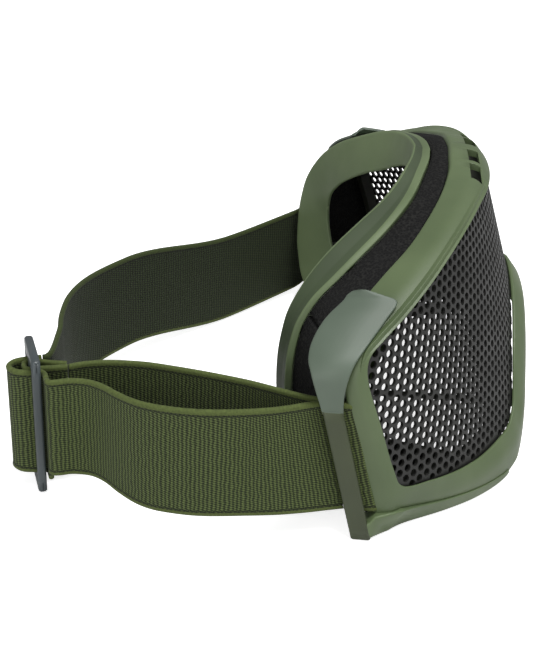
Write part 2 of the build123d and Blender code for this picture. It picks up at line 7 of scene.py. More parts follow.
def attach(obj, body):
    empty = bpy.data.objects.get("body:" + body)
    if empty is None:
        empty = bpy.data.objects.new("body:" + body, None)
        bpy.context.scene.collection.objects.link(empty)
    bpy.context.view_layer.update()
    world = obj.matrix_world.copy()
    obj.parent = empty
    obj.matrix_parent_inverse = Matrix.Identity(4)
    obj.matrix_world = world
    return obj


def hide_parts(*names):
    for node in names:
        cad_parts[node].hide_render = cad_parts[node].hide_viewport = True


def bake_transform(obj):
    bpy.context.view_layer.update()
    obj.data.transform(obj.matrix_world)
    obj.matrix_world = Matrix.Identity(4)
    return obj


# Mesh safety goggles: the model's own numbers are in millimetres and are turned into metres at the end.
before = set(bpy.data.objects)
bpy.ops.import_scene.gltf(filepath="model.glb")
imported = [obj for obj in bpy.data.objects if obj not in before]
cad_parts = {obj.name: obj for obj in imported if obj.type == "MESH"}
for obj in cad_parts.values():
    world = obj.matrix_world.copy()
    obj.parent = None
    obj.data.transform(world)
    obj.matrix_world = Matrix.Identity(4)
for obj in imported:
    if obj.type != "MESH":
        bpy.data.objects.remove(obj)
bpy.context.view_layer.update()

# Shares in the tables below are of UNIT where nothing else is said.
# SHIFT moves the model to the frame's origin.
UNIT = 100.0
MM = 0.001
SHIFT = Vector((1.5, -23.288, 0.0))
# The wearer's two sides, as signs of x.
RIGHT = -1
LEFT = 1

# Lens.
LENS_RADIUS = 125.0
LENS_THICKNESS = 1.1
LENS_CENTRE_Y = 61.1
LEAN_DEG = 18.8
LENS_DROP = 6.5
OPENING_HALF_ARC = 110.0
OPENING_TOP = 72.2
OPENING_BOTTOM = 3.4
LENS_OVERLAP = 1.5
LENS_CLEARANCE = 0.4
HOLE_PITCH = 3.134
HOLE_RADIUS = 1.17
HOLE_START_ARC = 100.0
HOLE_START_HEIGHT = 55.8
HOLE_EDGE = 0.2
HOLE_SIDES = 12
HOLE_ROWS = range(-30, 31)
HOLE_PLACES = range(-75, 6)
HOLE_FARTHEST = 1.6
OUTLINE_STEPS = 300
TINY = 1e-9

# Front frame.
LIP_LOW = 0.9
LIP_HIGH = 0.9
CREST_SHARE = 0.42
CREST_LOW = 0.4
CREST_RISE = 3.6
FRAME_WALL = 2.2
FRAME_ROUNDS = (0.3, 0.7, 2.2, 0.9, 0.4, 1.0, 0.3)
FRAME_STEPS = 220
STATION_STEP = 0.3

# Brow windows.
VENT_START = 3.0
VENT_WIDTH = 9.5
VENT_RIB = 2.0
VENT_COUNT = 2
VENT_FRONT = -34.4
VENT_REAR = -30.8
VENT_FLOOR = 75.0
VENT_HEIGHT = 22.5

# Flange and foam.
LIP_THICKNESS = 1.6
WALL_THICKNESS = 2.0
RIM_IN = 6.0
RIM_THICKNESS = 1.6
RIM_RISE = 0.5
GUTTER_SHARE = 0.62
GUTTER_DEPTH = 0.5
FLANGE_ROUNDS = (1.6, 0.5, 0.5, 0.5, 0.5, 1.0, 0.7, 0.7)
FLANGE_STEPS = 200
# Faces of the flange's section, counted from the ridge, that make its outer wall and carry its painted
# shade.
WALL_FIRST = 3
WALL_LAST = 9
# The foam's thickness is measured towards this place inside the goggle.
MIDDLE = Vector((0.0, -20.0, 58.0))
FOAM_THICKNESS = 3.4
FOAM_GAP = 0.3
FOAM_INSET = 1.1
FOAM_CROWN = 0.5
FOAM_ROUNDS = (0.5, 2.0, 2.0, 0.5, 0.5, 0.5)
FOAM_STEPS = 70
# Stations where the foam strips start and end.
BROW_STATION = 8.6
CHEEK_START = 8.75
CHEEK_END = 16.4

# Strap.
STRAP_THICKNESS = 1.3
STRAP_HEIGHT = 35.0
STRAP_BOTTOM_AT_CLIP = 7.8
STRAP_BOTTOM_AT_SLIDER = 4.7
STRAP_GAP = 0.3
ROLL_WIDTH = 1.3
ROLL_RADIUS = 0.85
ROLL_MARGIN = 1.6
WRAP_TAIL = 3.2
WRAP_MIDDLE_X = 96.8
WRAP_REACH_X = 0.95
WRAP_REACH_Y = 6.0
HEM_GAP = 0.9
HEM_START = 11.0
HEM_LENGTH = 18.0
HEM_LAYER = 1.4
ROW_STEP = 0.8
PATH_STEPS = 8
ROLL_STEPS = 8
WRAP_STEPS = 24

# Weave.
COLUMN_PITCH = 1.2
PICK_PITCH = 0.74
PICK_SLANT = 0.55
COLUMN_DRIFT = 0.9
FUZZ = 0.9
EDGE_WIDTH = 1.45
EDGE_LEVEL = (0.7, 0.7, 0.7, 1.0)
STITCH_INSET = 1.75
STITCH_HALF = 0.38
STITCH_TONE = 0.45
STITCH_DARKENS = 0.8
STITCH_SINKS = 0.6
WEAVE_DEPTH = 0.28

# Plastic and foam surfaces.
GRAIN_DEPTH = 0.05
ROUGHNESS_SPREAD = 0.07
# How much the painted highlight lightens convex edges.
EDGE_HIGHLIGHT_LIGHTER = 1.25
FOAM_CELLS_PER_METRE = 1300.0
FOAM_CELL_DEPTH = 0.4

# Clip.
CLIP_INNER_X = 98.3
CLIP_WALL = 2.4
BAR_TOP = 41.4
BAR_WIDTH = 4.5
BAR_SWELL = 0.65
BAR_OUTWARD = 0.5
BAR_FRONT_AT_FLOOR = -5.1
BAR_LEAN = 0.2616
BAR_ROUND = 1.3
BAR_END_INSET = 0.5
BAR_END_RISE = 0.6
BAR_END_ROUND = 1.0
BAR_STEPS = 12
ARM_GAP = 0.35
ARM_SKIN = 0.4
ARM_ROOT = 1.2
ARM_START = 13.0
ARM_END = 17.4
ARM_TALL_SHARE = 0.42
ARM_TAPER_SHARE = 0.8
ARM_DROP = 0.6
ARM_ROUND = 0.25
ARM_STEPS = 40
ARM_FIRST_STEP = 3

# The clip's heel, from the bar's foot to the arm.
HEEL_INWARD = 3.6
HEEL_ROUNDS = (0.25, 0.25, 0.5, 0.9)
# Each section: y behind the bar's front, lower edge, drop of its top below the foot's, outward reach.
HEEL_ENDS = ((2.5, 0.0, 2.5, 2.7), (0.0, 0.0, 1.5, 2.6), (-1.5, 0.4, 0.0, 1.7))

# The clip's plate, from the bar to its tip: thinner where it tilts, and curled in at the rear.
PLATE_TIP_WALL = 1.1
PLATE_THIN_TILT = 40
PLATE_CURL = 3.4
PLATE_CURL_TILT = 26
PLATE_CURL_START = 0.2
PLATE_ROUND = 0.4
PLATE_COLUMNS = 10
PLATE_STEPS = 48
# Each row is x, z, front y and rear y, then the tilt in degrees.
PLATE_SHARES = [
    (0.987, 0.405, 0.0490, 0.1070, 0.0),
    (0.987, 0.435, 0.0510, 0.1160, 0.0),
    (0.986, 0.470, 0.0500, 0.1290, 2.0),
    (0.983, 0.515, 0.0420, 0.1450, 8.0),
    (0.966, 0.551, 0.0250, 0.1560, 26.0),
    (0.917, 0.591, -0.0120, 0.1480, 40.0),
    (0.865, 0.633, -0.0500, 0.1180, 40.0),
    (0.816, 0.666, -0.0780, 0.0720, 36.0),
    (0.801, 0.677, -0.0380, 0.0620, 36.0),
    (0.789, 0.684, 0.0080, 0.0490, 36.0),
]

# Slider.
SLIDER_NEAR = Vector((-89.2, 93.0, 0.0))
SLIDER_FAR = Vector((-75.5, 98.6, 0.0))
SLIDER_TOP = 44.4
SLIDER_BAR = 3.0
SLIDER_THICKNESS = 2.6
SLIDER_END = 4.0
SLIDER_BAR_INSET = 0.6
SLIDER_BAR_ROUND = 1.0
SLIDER_END_ROUND = 1.1
SLIDER_CHAMFER = 0.5
SLIDER_CHAMFER_SHARE = 0.6
SLIDER_STEPS = 8

# Stations of the lens opening on the wearer's right, from the brow round the side to the nose.
# Each row is arc and height as shares of the opening, the frame's rear edge x, y and z, and its swell.
STATION_SHARES = [
    (0.000, 0.983, 0.000, -0.255, 0.885, 0.70),
    (0.091, 0.984, 0.100, -0.250, 0.880, 0.68),
    (0.191, 0.987, 0.200, -0.243, 0.862, 0.50),
    (0.340, 1.000, 0.330, -0.212, 0.827, 0.40),
    (0.473, 0.986, 0.450, -0.170, 0.790, 0.38),
    (0.600, 0.956, 0.570, -0.112, 0.740, 0.35),
    (0.727, 0.910, 0.690, -0.036, 0.690, 0.30),
    (0.836, 0.868, 0.800, 0.030, 0.640, 0.25),
    (0.918, 0.837, 0.890, 0.068, 0.595, 0.15),
    (0.977, 0.801, 0.955, 0.065, 0.530, 0.12),
    (1.000, 0.706, 0.980, 0.045, 0.445, 0.17),
    (1.000, 0.503, 0.980, -0.010, 0.270, 0.18),
    (1.000, 0.299, 0.980, -0.060, 0.105, 0.18),
    (0.986, 0.195, 0.960, -0.086, 0.000, 0.18),
    (0.900, 0.134, 0.910, -0.144, -0.010, 0.25),
    (0.800, 0.077, 0.830, -0.275, -0.010, 0.35),
    (0.691, 0.032, 0.750, -0.380, -0.010, 0.40),
    (0.586, 0.010, 0.650, -0.468, -0.010, 0.40),
    (0.504, 0.003, 0.540, -0.526, -0.010, 0.40),
    (0.450, 0.038, 0.470, -0.548, 0.005, 0.40),
    (0.410, 0.100, 0.410, -0.560, 0.055, 0.45),
    (0.350, 0.206, 0.345, -0.566, 0.120, 0.45),
    (0.276, 0.304, 0.270, -0.566, 0.190, 0.50),
    (0.182, 0.387, 0.180, -0.564, 0.260, 0.55),
    (0.082, 0.442, 0.080, -0.562, 0.305, 0.60),
    (0.000, 0.454, 0.000, -0.560, 0.317, 0.60),
]

# The face flange at the same stations: its ridge, rim and face edge, each x, y and z.
FLANGE_SHARES = [
    (0.000, -0.135, 0.875, 0.000, -0.175, 0.865, 0.000, -0.123, 0.785),
    (0.090, -0.125, 0.870, 0.100, -0.167, 0.860, 0.070, -0.110, 0.775),
    (0.180, -0.105, 0.860, 0.200, -0.147, 0.847, 0.140, -0.083, 0.750),
    (0.280, -0.073, 0.838, 0.310, -0.120, 0.823, 0.220, -0.040, 0.708),
    (0.370, -0.028, 0.805, 0.410, -0.085, 0.800, 0.290, 0.015, 0.670),
    (0.450, 0.040, 0.760, 0.500, -0.030, 0.755, 0.360, 0.060, 0.625),
    (0.525, 0.110, 0.710, 0.580, 0.040, 0.700, 0.420, 0.098, 0.580),
    (0.575, 0.165, 0.655, 0.630, 0.100, 0.645, 0.465, 0.120, 0.540),
    (0.603, 0.205, 0.595, 0.663, 0.155, 0.590, 0.495, 0.135, 0.503),
    (0.616, 0.235, 0.530, 0.683, 0.195, 0.520, 0.515, 0.140, 0.465),
    (0.620, 0.250, 0.465, 0.695, 0.213, 0.450, 0.525, 0.140, 0.425),
    (0.615, 0.260, 0.380, 0.700, 0.220, 0.380, 0.520, 0.135, 0.375),
    (0.600, 0.260, 0.270, 0.690, 0.220, 0.260, 0.505, 0.122, 0.315),
    (0.585, 0.250, 0.200, 0.675, 0.215, 0.180, 0.490, 0.110, 0.280),
    (0.560, 0.235, 0.135, 0.650, 0.195, 0.105, 0.470, 0.095, 0.245),
    (0.515, 0.205, 0.085, 0.600, 0.160, 0.050, 0.445, 0.075, 0.215),
    (0.455, 0.165, 0.060, 0.530, 0.115, 0.030, 0.420, 0.050, 0.195),
    (0.395, 0.120, 0.060, 0.460, 0.065, 0.030, 0.400, 0.030, 0.195),
    (0.340, 0.080, 0.080, 0.400, 0.030, 0.045, 0.385, 0.015, 0.210),
    (0.300, 0.045, 0.120, 0.355, 0.000, 0.080, 0.365, 0.000, 0.240),
    (0.270, 0.020, 0.170, 0.320, -0.030, 0.130, 0.340, -0.020, 0.280),
    (0.240, -0.010, 0.230, 0.285, -0.055, 0.190, 0.300, -0.045, 0.330),
    (0.200, -0.045, 0.290, 0.240, -0.085, 0.255, 0.245, -0.070, 0.385),
    (0.140, -0.080, 0.340, 0.170, -0.120, 0.310, 0.170, -0.095, 0.430),
    (0.070, -0.110, 0.375, 0.085, -0.150, 0.345, 0.085, -0.113, 0.460),
    (0.000, -0.120, 0.385, 0.000, -0.162, 0.355, 0.000, -0.120, 0.470),
]

# The straps' middle lines seen from above, from the clip to the slider.
OUTER_PATH_SHARES = [
    (-0.9745, 0.073), (-0.9880, 0.115), (-1.0080, 0.175), (-1.0280, 0.260), (-1.047, 0.420), (-1.038, 0.530),
    (-1.015, 0.610), (-0.975, 0.675), (-0.930, 0.730), (-0.905, 0.780), (-0.903, 0.830), (-0.9155, 0.8650),
    (-0.9190, 0.8830), (-0.9125, 0.8930), (-0.9049, 0.8969),
]
INNER_PATH_SHARES = [
    (-0.9555, 0.073), (-0.9450, 0.115), (-0.9230, 0.180), (-0.878, 0.300), (-0.838, 0.420), (-0.805, 0.540),
    (-0.784, 0.640), (-0.782, 0.740), (-0.796, 0.810), (-0.817, 0.853),
]
BACK_PATH_SHARES = [
    (0.9555, 0.073), (0.9400, 0.112), (0.8800, 0.155), (0.668, 0.262), (0.360, 0.524), (0.082, 0.750),
    (-0.082, 0.863), (-0.226, 0.928), (-0.370, 0.955), (-0.500, 0.950), (-0.585, 0.935), (-0.640, 0.930),
    (-0.700, 0.9255), (-0.7450, 0.9260), (-0.7665, 0.9345), (-0.7704, 0.9430),
]
# The hem at the left clip lies beside the back strap as it leaves the clip in the solids.
HEM_BASE_SHARES = [(0.973, 0.073), (0.955, 0.110)] + BACK_PATH_SHARES[2:]
# How far a strap sags or its lower edge lifts: share of its run, share of its height.
BACK_DROP_SHARES = [
    (0.0, 0.0), (0.18, 0.150), (0.36, 0.185), (0.62, 0.0), (0.80, -0.030), (1.0, 0.0),
]
LEVEL_SHARES = [(0.0, 0.0), (1.0, 0.0)]
OUTER_LIFT_SHARES = [(0.0, 0.0), (0.55, 0.0), (0.85, 0.07), (1.0, 0.08)]

# The turn and the hem at the slider, along and across it, as shares of the slider's bar.
TURN_PATH_SHARES = [
    (1.45, -1.00), (1.40, -0.40), (1.40, 0.55), (1.15, 1.65), (0.20, 2.30), (-0.90, 1.75),
    (-1.38, 0.60), (-1.45, -0.35), (-1.90, -0.80), (-2.60, -0.86), (-3.15, -0.86),
]
HEM_PATH_SHARES = [
    (-1.10, -3.20), (-0.95, -1.60), (-0.83, -0.40), (-0.83, 0.30), (-0.50, 0.77), (0.50, 0.77),
    (0.83, 0.30), (0.83, -0.40), (0.20, -1.50), (-0.45, -3.20),
]

# The last station, in the middle above the nose.
LAST = len(STATION_SHARES) - 1


def leaned(x, y, z):
    """A place on the upright lens, leaned back with it."""
    a = math.radians(LEAN_DEG)
    return Vector((x, y * math.cos(a) + z * math.sin(a), z * math.cos(a) - y * math.sin(a) - LENS_DROP))


def on_lens(arc, height, above=0.0):
    a = arc / LENS_RADIUS
    r = LENS_RADIUS + above
    return leaned(-r * math.sin(a), LENS_CENTRE_Y - r * math.cos(a), height)


def spline(p0, p1, p2, p3, t):
    """A smooth curve through p1 and p2, at the share t between them."""
    out = []
    for a, b, c, d in zip(p0, p1, p2, p3):
        curve = b + (c - a) * t / 2 + (2 * a - 5 * b + 4 * c - d) * t * t / 2
        out.append(curve + (3 * b - a - 3 * c + d) * t ** 3 / 2)
    return out


def between(table, k):
    """The table's row at k, which may lie between two rows."""
    last = len(table) - 1
    low = max(0, min(int(k), last - 1))
    before = table[max(low - 1, 0)]
    after = table[min(low + 2, last)]
    return spline(before, table[low], table[low + 1], after, k - low)


def shares(k):
    return between(STATION_SHARES, k)


def opening_at(k):
    s = shares(k)
    return s[0] * OPENING_HALF_ARC, OPENING_BOTTOM + s[1] * (OPENING_TOP - OPENING_BOTTOM)


def opening_out(k):
    """The way out of the opening at a station, in the unrolled lens."""
    step = STATION_STEP
    if k <= 0:
        return 0.0, 1.0
    if k >= LAST:
        return 0.0, -1.0
    a0, h0 = opening_at(max(k - step, 0))
    a1, h1 = opening_at(min(k + step, LAST))
    full = math.hypot(a1 - a0, h1 - h0)
    return -(h1 - h0) / full, (a1 - a0) / full


def beside(k, width, above):
    """A place outside the opening's edge by a width, above the lens."""
    arc, height = opening_at(k)
    da, dh = opening_out(k)
    return on_lens(arc + da * width, height + dh * width, above)


def frame_edge(k):
    s = shares(k)
    return Vector((-s[2] * UNIT, s[3] * UNIT, max(s[4] * UNIT, 0.0)))


def frame_axes(k):
    """Where the frame's section starts, its two directions and its length."""
    swell = shares(k)[5]
    start = beside(k, 0, LIP_LOW + LIP_HIGH * swell)
    band = frame_edge(k) - start
    along = band.normalized()
    lens_out = (beside(k, 0, 1) - beside(k, 0, 0)).normalized()
    out = (lens_out - along * lens_out.dot(along)).normalized()
    return start, along, out, band.length


def frame_point(k, share, rise):
    start, along, out, length = frame_axes(k)
    return start + along * (length * share) + out * rise


def crest_rise(k):
    return CREST_LOW + CREST_RISE * shares(k)[5]


def across(v, way):
    return (v - way * v.dot(way)).normalized()


def rounded(corners, radii, steps=4):
    """A closed outline with its corners rounded."""
    out = []
    count = len(corners)
    for i, p in enumerate(corners):
        a = corners[i - 1] - p
        b = corners[(i + 1) % count] - p
        t = min(radii[i], 0.45 * a.length, 0.45 * b.length)
        pa = p + a.normalized() * t
        pb = p + b.normalized() * t
        for j in range(steps + 1):
            u = j / steps
            out.append(pa * (1 - u) ** 2 + p * (2 * u * (1 - u)) + pb * u * u)
    return out


def frame_section(k):
    """The front frame cut across at a station, from its lens edge over the crest to its rear edge."""
    crest = crest_rise(k)
    corners = [
        beside(k, 0, LENS_CLEARANCE),
        frame_point(k, 0, 0),
        frame_point(k, CREST_SHARE, crest),
        frame_point(k, 1, 0),
        frame_point(k, 1, -FRAME_WALL),
        frame_point(k, CREST_SHARE, crest - FRAME_WALL),
        beside(k, LENS_OVERLAP + LENS_CLEARANCE, LENS_CLEARANCE),
    ]
    return rounded(corners, FRAME_ROUNDS)


def flange_row(k):
    s = [share * UNIT for share in between(FLANGE_SHARES, k)]
    return [Vector((-s[i], s[i + 1], s[i + 2])) for i in (0, 3, 6)]


def flange_out(k):
    step = STATION_STEP
    if k <= 0:
        return Vector((0, 0, 1))
    if k >= LAST:
        return Vector((0, 0, -1))
    along = flange_row(min(k + step, LAST))[1] - flange_row(max(k - step, 0))[1]
    return Vector((along.z, 0, -along.x)).normalized()


def rim_at(k, inward, forward):
    return flange_row(k)[1] - flange_out(k) * inward - Vector((0, forward, 0))


def flange_section(k):
    """The face flange cut across: its ridge, outer wall, rim and the lip that lies on the face."""
    ridge, rim, face = flange_row(k)
    lip = (face - ridge).normalized()
    forward = across(Vector((0, -1, 0)), lip)
    wall = rim - ridge
    corners = [
        ridge,
        ridge + wall * GUTTER_SHARE - flange_out(k) * GUTTER_DEPTH,
        rim + Vector((0, RIM_RISE, 0)),
        rim_at(k, 0, RIM_THICKNESS),
        rim_at(k, RIM_IN, RIM_THICKNESS),
        ridge + forward * LIP_THICKNESS + lip * WALL_THICKNESS,
        face + forward * LIP_THICKNESS,
        face,
    ]
    return rounded(corners, FLANGE_ROUNDS)


def strip_section(k):
    """A foam strip cut across, between the flange's rim and the frame's rear edge."""
    rim = rim_at(k, FOAM_INSET, RIM_THICKNESS)
    edge = frame_point(k, 1, -FOAM_INSET)
    way = (edge - rim).normalized()
    inward = across(MIDDLE - edge, way)
    a = rim + way * FOAM_GAP
    b = edge - way * FOAM_GAP
    crown = inward * -FOAM_CROWN
    deep = inward * FOAM_THICKNESS
    corners = [a, (a * 2 + b) / 3 + crown, (a + b * 2) / 3 + crown, b, b + deep, a + deep]
    return rounded(corners, FOAM_ROUNDS)


def to_metres(p):
    return (Vector(p) + SHIFT) * MM


def new_mesh(name, points, faces, material, uvs=None, smooth=True):
    mesh = bpy.data.meshes.new(name)
    mesh.from_pydata([tuple(to_metres(p)) for p in points], [], faces)
    if uvs is not None:
        layer = mesh.uv_layers.new(name="strap")
        flat = []
        for face in faces:
            for corner in face:
                flat.extend(uvs[corner])
        layer.data.foreach_set("uv", flat)
    if smooth:
        mesh.polygons.foreach_set("use_smooth", [True] * len(mesh.polygons))
    mesh.materials.append(material)
    mesh.validate()
    mesh.update()
    obj = bpy.data.objects.new(name, mesh)
    bpy.context.scene.collection.objects.link(obj)
    return obj


def grid_faces(rows, count):
    """The faces between rows of closed outlines."""
    faces = []
    for i in range(rows - 1):
        for j in range(count):
            a = i * count + j
            b = i * count + (j + 1) % count
            faces.append((a, b, b + count, a + count))
    return faces


def capped_faces(rows, count):
    """The same, with the two ends closed."""
    faces = grid_faces(rows, count)
    faces.append(tuple(reversed(range(count))))
    last = (rows - 1) * count
    faces.append(tuple(last + j for j in range(count)))
    return faces


def loft(sections):
    """A closed body through a row of sections."""
    points = [p for section in sections for p in section]
    return points, capped_faces(len(sections), len(sections[0]))


def mirror_points(points):
    return [Vector((-p.x, p.y, p.z)) for p in points]


def mirrored_sections(sections):
    """Right-hand sections that start in the middle, led by their mirror, as one row from end to end."""
    left = [mirror_points(section) for section in sections[1:]]
    return list(reversed(left)) + sections


def ring(section_of, steps):
    """A closed ring from the brow round both sides."""
    right = [section_of(LAST * i / steps) for i in range(steps + 1)]
    left = [mirror_points(section) for section in right]
    sections = right + list(reversed(left[1:-1]))
    count = len(right[0])
    points = [p for section in sections for p in section]
    faces = grid_faces(len(sections), count)
    last = (len(sections) - 1) * count
    for j in range(count):
        faces.append((last + j, last + (j + 1) % count, (j + 1) % count, j))
    return points, faces


def joined(parts):
    """Several bodies as the points and faces of one mesh."""
    points = []
    faces = []
    for part_points, part_faces in parts:
        start = len(points)
        points += part_points
        faces += [tuple(start + i for i in face) for face in part_faces]
    return points, faces


def flipped(faces):
    return [tuple(reversed(face)) for face in faces]


# Materials.
def node_of(tree, kind, **values):
    node = tree.nodes.new(kind)
    for key, value in values.items():
        setattr(node, key, value)
    return node


def linear(rgb):
    """A screen colour, 0 to 255, as the linear colour that a shader takes."""
    out = []
    for v in rgb:
        c = v / 255
        out.append(c / 12.92 if c <= 0.04045 else ((c + 0.055) / 1.055) ** 2.4)
    return tuple(out) + (1.0,)


def start_material(name, roughness, specular=0.5):
    material = bpy.data.materials.new(name)
    material.use_nodes = True
    tree = material.node_tree
    shader = tree.nodes["Principled BSDF"]
    shader.inputs["Roughness"].default_value = roughness
    shader.inputs["Specular IOR Level"].default_value = specular
    return material, tree, shader


def noise(tree, scale, detail=4.0, vector=None):
    node = node_of(tree, "ShaderNodeTexNoise")
    node.inputs["Scale"].default_value = scale
    node.inputs["Detail"].default_value = detail
    if vector is None:
        vector = node_of(tree, "ShaderNodeTexCoord").outputs["Object"]
    tree.links.new(vector, node.inputs["Vector"])
    return node.outputs["Fac"]


def ramp(tree, value, stops):
    node = node_of(tree, "ShaderNodeValToRGB")
    while len(node.color_ramp.elements) < len(stops):
        node.color_ramp.elements.new(0.5)
    for element, (place, colour) in zip(node.color_ramp.elements, stops):
        element.position = place
        element.color = colour
    tree.links.new(value, node.inputs["Fac"])
    return node.outputs["Color"]


def maths(tree, operation, a, b=0.0, c=0.0):
    node = node_of(tree, "ShaderNodeMath", operation=operation)
    for socket, value in zip(node.inputs, (a, b, c)):
        if isinstance(value, (int, float)):
            socket.default_value = value
        else:
            tree.links.new(value, socket)
    return node.outputs[0]


def mix(tree, factor, a, b):
    node = node_of(tree, "ShaderNodeMix", data_type="RGBA")
    for socket, value in ((node.inputs["Factor"], factor), (node.inputs[6], a), (node.inputs[7], b)):
        if isinstance(value, (int, float, tuple)):
            socket.default_value = value
        else:
            tree.links.new(value, socket)
    return node.outputs[2]


def bump(tree, shader, height, strength, depth):
    """Relief, with its depth in millimetres."""
    node = node_of(tree, "ShaderNodeBump")
    node.inputs["Strength"].default_value = strength
    node.inputs["Distance"].default_value = depth * MM
    tree.links.new(height, node.inputs["Height"])
    tree.links.new(node.outputs["Normal"], shader.inputs["Normal"])


def moulded(name, dark, light, roughness, grain=2600.0, strength=0.12):
    """Moulded plastic: slow colour drift, fine grain and a painted highlight that lightens convex edges."""
    material, tree, shader = start_material(name, roughness)
    drift = ramp(tree, noise(tree, 28.0, 3.0), [(0.35, linear(dark)), (0.65, linear(light))])
    geometry = node_of(tree, "ShaderNodeNewGeometry")
    # Painted highlight: convex edges, found by pointiness, are mixed towards a lighter copy of the colour.
    edge = ramp(tree, geometry.outputs["Pointiness"], [(0.5, (0, 0, 0, 1)), (0.62, (1, 1, 1, 1))])
    edge_highlight = tuple(min(1.0, v * EDGE_HIGHLIGHT_LIGHTER) for v in linear(light)[:3]) + (1.0,)
    tree.links.new(mix(tree, edge, drift, edge_highlight), shader.inputs["Base Color"])
    low = (roughness - ROUGHNESS_SPREAD,) * 3 + (1,)
    high = (roughness + ROUGHNESS_SPREAD,) * 3 + (1,)
    rough = ramp(tree, noise(tree, 90.0, 5.0), [(0.3, low), (0.7, high)])
    tree.links.new(rough, shader.inputs["Roughness"])
    bump(tree, shader, noise(tree, grain, 2.0), strength, GRAIN_DEPTH)
    return material


def webbing(name, dark, light, edge_colour):
    """Woven elastic: slanted picks in columns, with a rolled edge and a row of stitches beside it."""
    material, tree, shader = start_material(name, 0.78, 0.25)
    uv = node_of(tree, "ShaderNodeUVMap", uv_map="strap").outputs["UV"]
    split = node_of(tree, "ShaderNodeSeparateXYZ")
    tree.links.new(uv, split.inputs[0])
    run = split.outputs["X"]
    height = split.outputs["Y"]
    from_middle = maths(tree, "ABSOLUTE", height)
    drift = maths(tree, "SUBTRACT", noise(tree, 0.35, 3.0, uv), 0.5)
    wander = maths(tree, "MULTIPLY", drift, COLUMN_DRIFT)
    column = maths(tree, "ADD", maths(tree, "MULTIPLY", run, 1 / COLUMN_PITCH), wander)
    column_wave = maths(tree, "SINE", maths(tree, "MULTIPLY", column, 2 * math.pi))
    slant = maths(tree, "MULTIPLY", maths(tree, "FRACT", column), PICK_SLANT)
    odd = maths(tree, "MULTIPLY", maths(tree, "FLOOR", column), 0.5)
    pick = maths(tree, "MULTIPLY", height, 1 / PICK_PITCH)
    row = maths(tree, "ADD", pick, maths(tree, "SUBTRACT", odd, slant))
    row_wave = maths(tree, "SINE", maths(tree, "MULTIPLY", row, 2 * math.pi))
    weave = maths(tree, "MULTIPLY", maths(tree, "ADD", row_wave, column_wave), 0.5)
    fuzz = maths(tree, "SUBTRACT", noise(tree, 2.2, 3.0, uv), 0.5)
    weave = maths(tree, "ADD", weave, maths(tree, "MULTIPLY", fuzz, FUZZ))
    weave = maths(tree, "ADD", maths(tree, "MULTIPLY", weave, 0.5), 0.5)
    middle = tuple((a + b) / 2 for a, b in zip(dark, light))
    cloth = ramp(tree, weave, [(0.18, linear(dark)), (0.5, linear(middle)), (0.86, linear(light))])
    edge_mask = maths(tree, "GREATER_THAN", from_middle, STRAP_HEIGHT / 2 - EDGE_WIDTH)
    edge_dark = tuple(v * 0.8 for v in edge_colour)
    edge_noise = noise(tree, 1.4, 4.0, uv)
    edge_tone = ramp(tree, edge_noise, [(0.3, linear(edge_dark)), (0.7, linear(edge_colour))])
    stitch_band = maths(tree, "COMPARE", from_middle, STRAP_HEIGHT / 2 - STITCH_INSET, STITCH_HALF)
    stitch_gap = maths(tree, "GREATER_THAN", column_wave, 0.0)
    stitch = maths(tree, "MULTIPLY", stitch_band, stitch_gap)
    colour = mix(tree, edge_mask, cloth, edge_tone)
    thread = linear(tuple(v * STITCH_TONE for v in dark))
    colour = mix(tree, maths(tree, "MULTIPLY", stitch, STITCH_DARKENS), colour, thread)
    tree.links.new(colour, shader.inputs["Base Color"])
    shader.inputs["Sheen Weight"].default_value = 0.05
    shader.inputs["Sheen Roughness"].default_value = 0.5
    lift = mix(tree, edge_mask, weave, EDGE_LEVEL)
    level = maths(tree, "SUBTRACT", lift, maths(tree, "MULTIPLY", stitch, STITCH_SINKS))
    bump(tree, shader, level, 0.7, WEAVE_DEPTH)
    return material


def foam_material(name):
    """Open-cell foam: dark cells of uneven tone."""
    material, tree, shader = start_material(name, 0.95, 0.15)
    cells = node_of(tree, "ShaderNodeTexVoronoi")
    cells.inputs["Scale"].default_value = FOAM_CELLS_PER_METRE
    tree.links.new(node_of(tree, "ShaderNodeTexCoord").outputs["Object"], cells.inputs["Vector"])
    stops = [(0.1, linear((10, 10, 10))), (0.45, linear((24, 24, 24))), (0.8, linear((44, 44, 42)))]
    spots = ramp(tree, cells.outputs["Distance"], stops)
    tree.links.new(mix(tree, noise(tree, 60.0), spots, linear((26, 26, 26))), shader.inputs["Base Color"])
    bump(tree, shader, cells.outputs["Distance"], 0.8, FOAM_CELL_DEPTH)
    return material


def clip_material(name):
    """Grey-green above, darker olive on the bar below one crisp line."""
    material, tree, shader = start_material(name, 0.5)
    coords = node_of(tree, "ShaderNodeTexCoord").outputs["Object"]
    split = node_of(tree, "ShaderNodeSeparateXYZ")
    tree.links.new(coords, split.inputs[0])
    top = maths(tree, "GREATER_THAN", split.outputs["Z"], BAR_TOP * MM)
    high = ramp(tree, noise(tree, 30.0, 3.0), [(0.35, linear((78, 90, 77))), (0.65, linear((90, 103, 89)))])
    low = ramp(tree, noise(tree, 30.0, 3.0), [(0.35, linear((50, 57, 35))), (0.65, linear((64, 72, 46)))])
    tree.links.new(mix(tree, top, low, high), shader.inputs["Base Color"])
    bump(tree, shader, noise(tree, 2400.0, 2.0), 0.1, GRAIN_DEPTH)
    return material


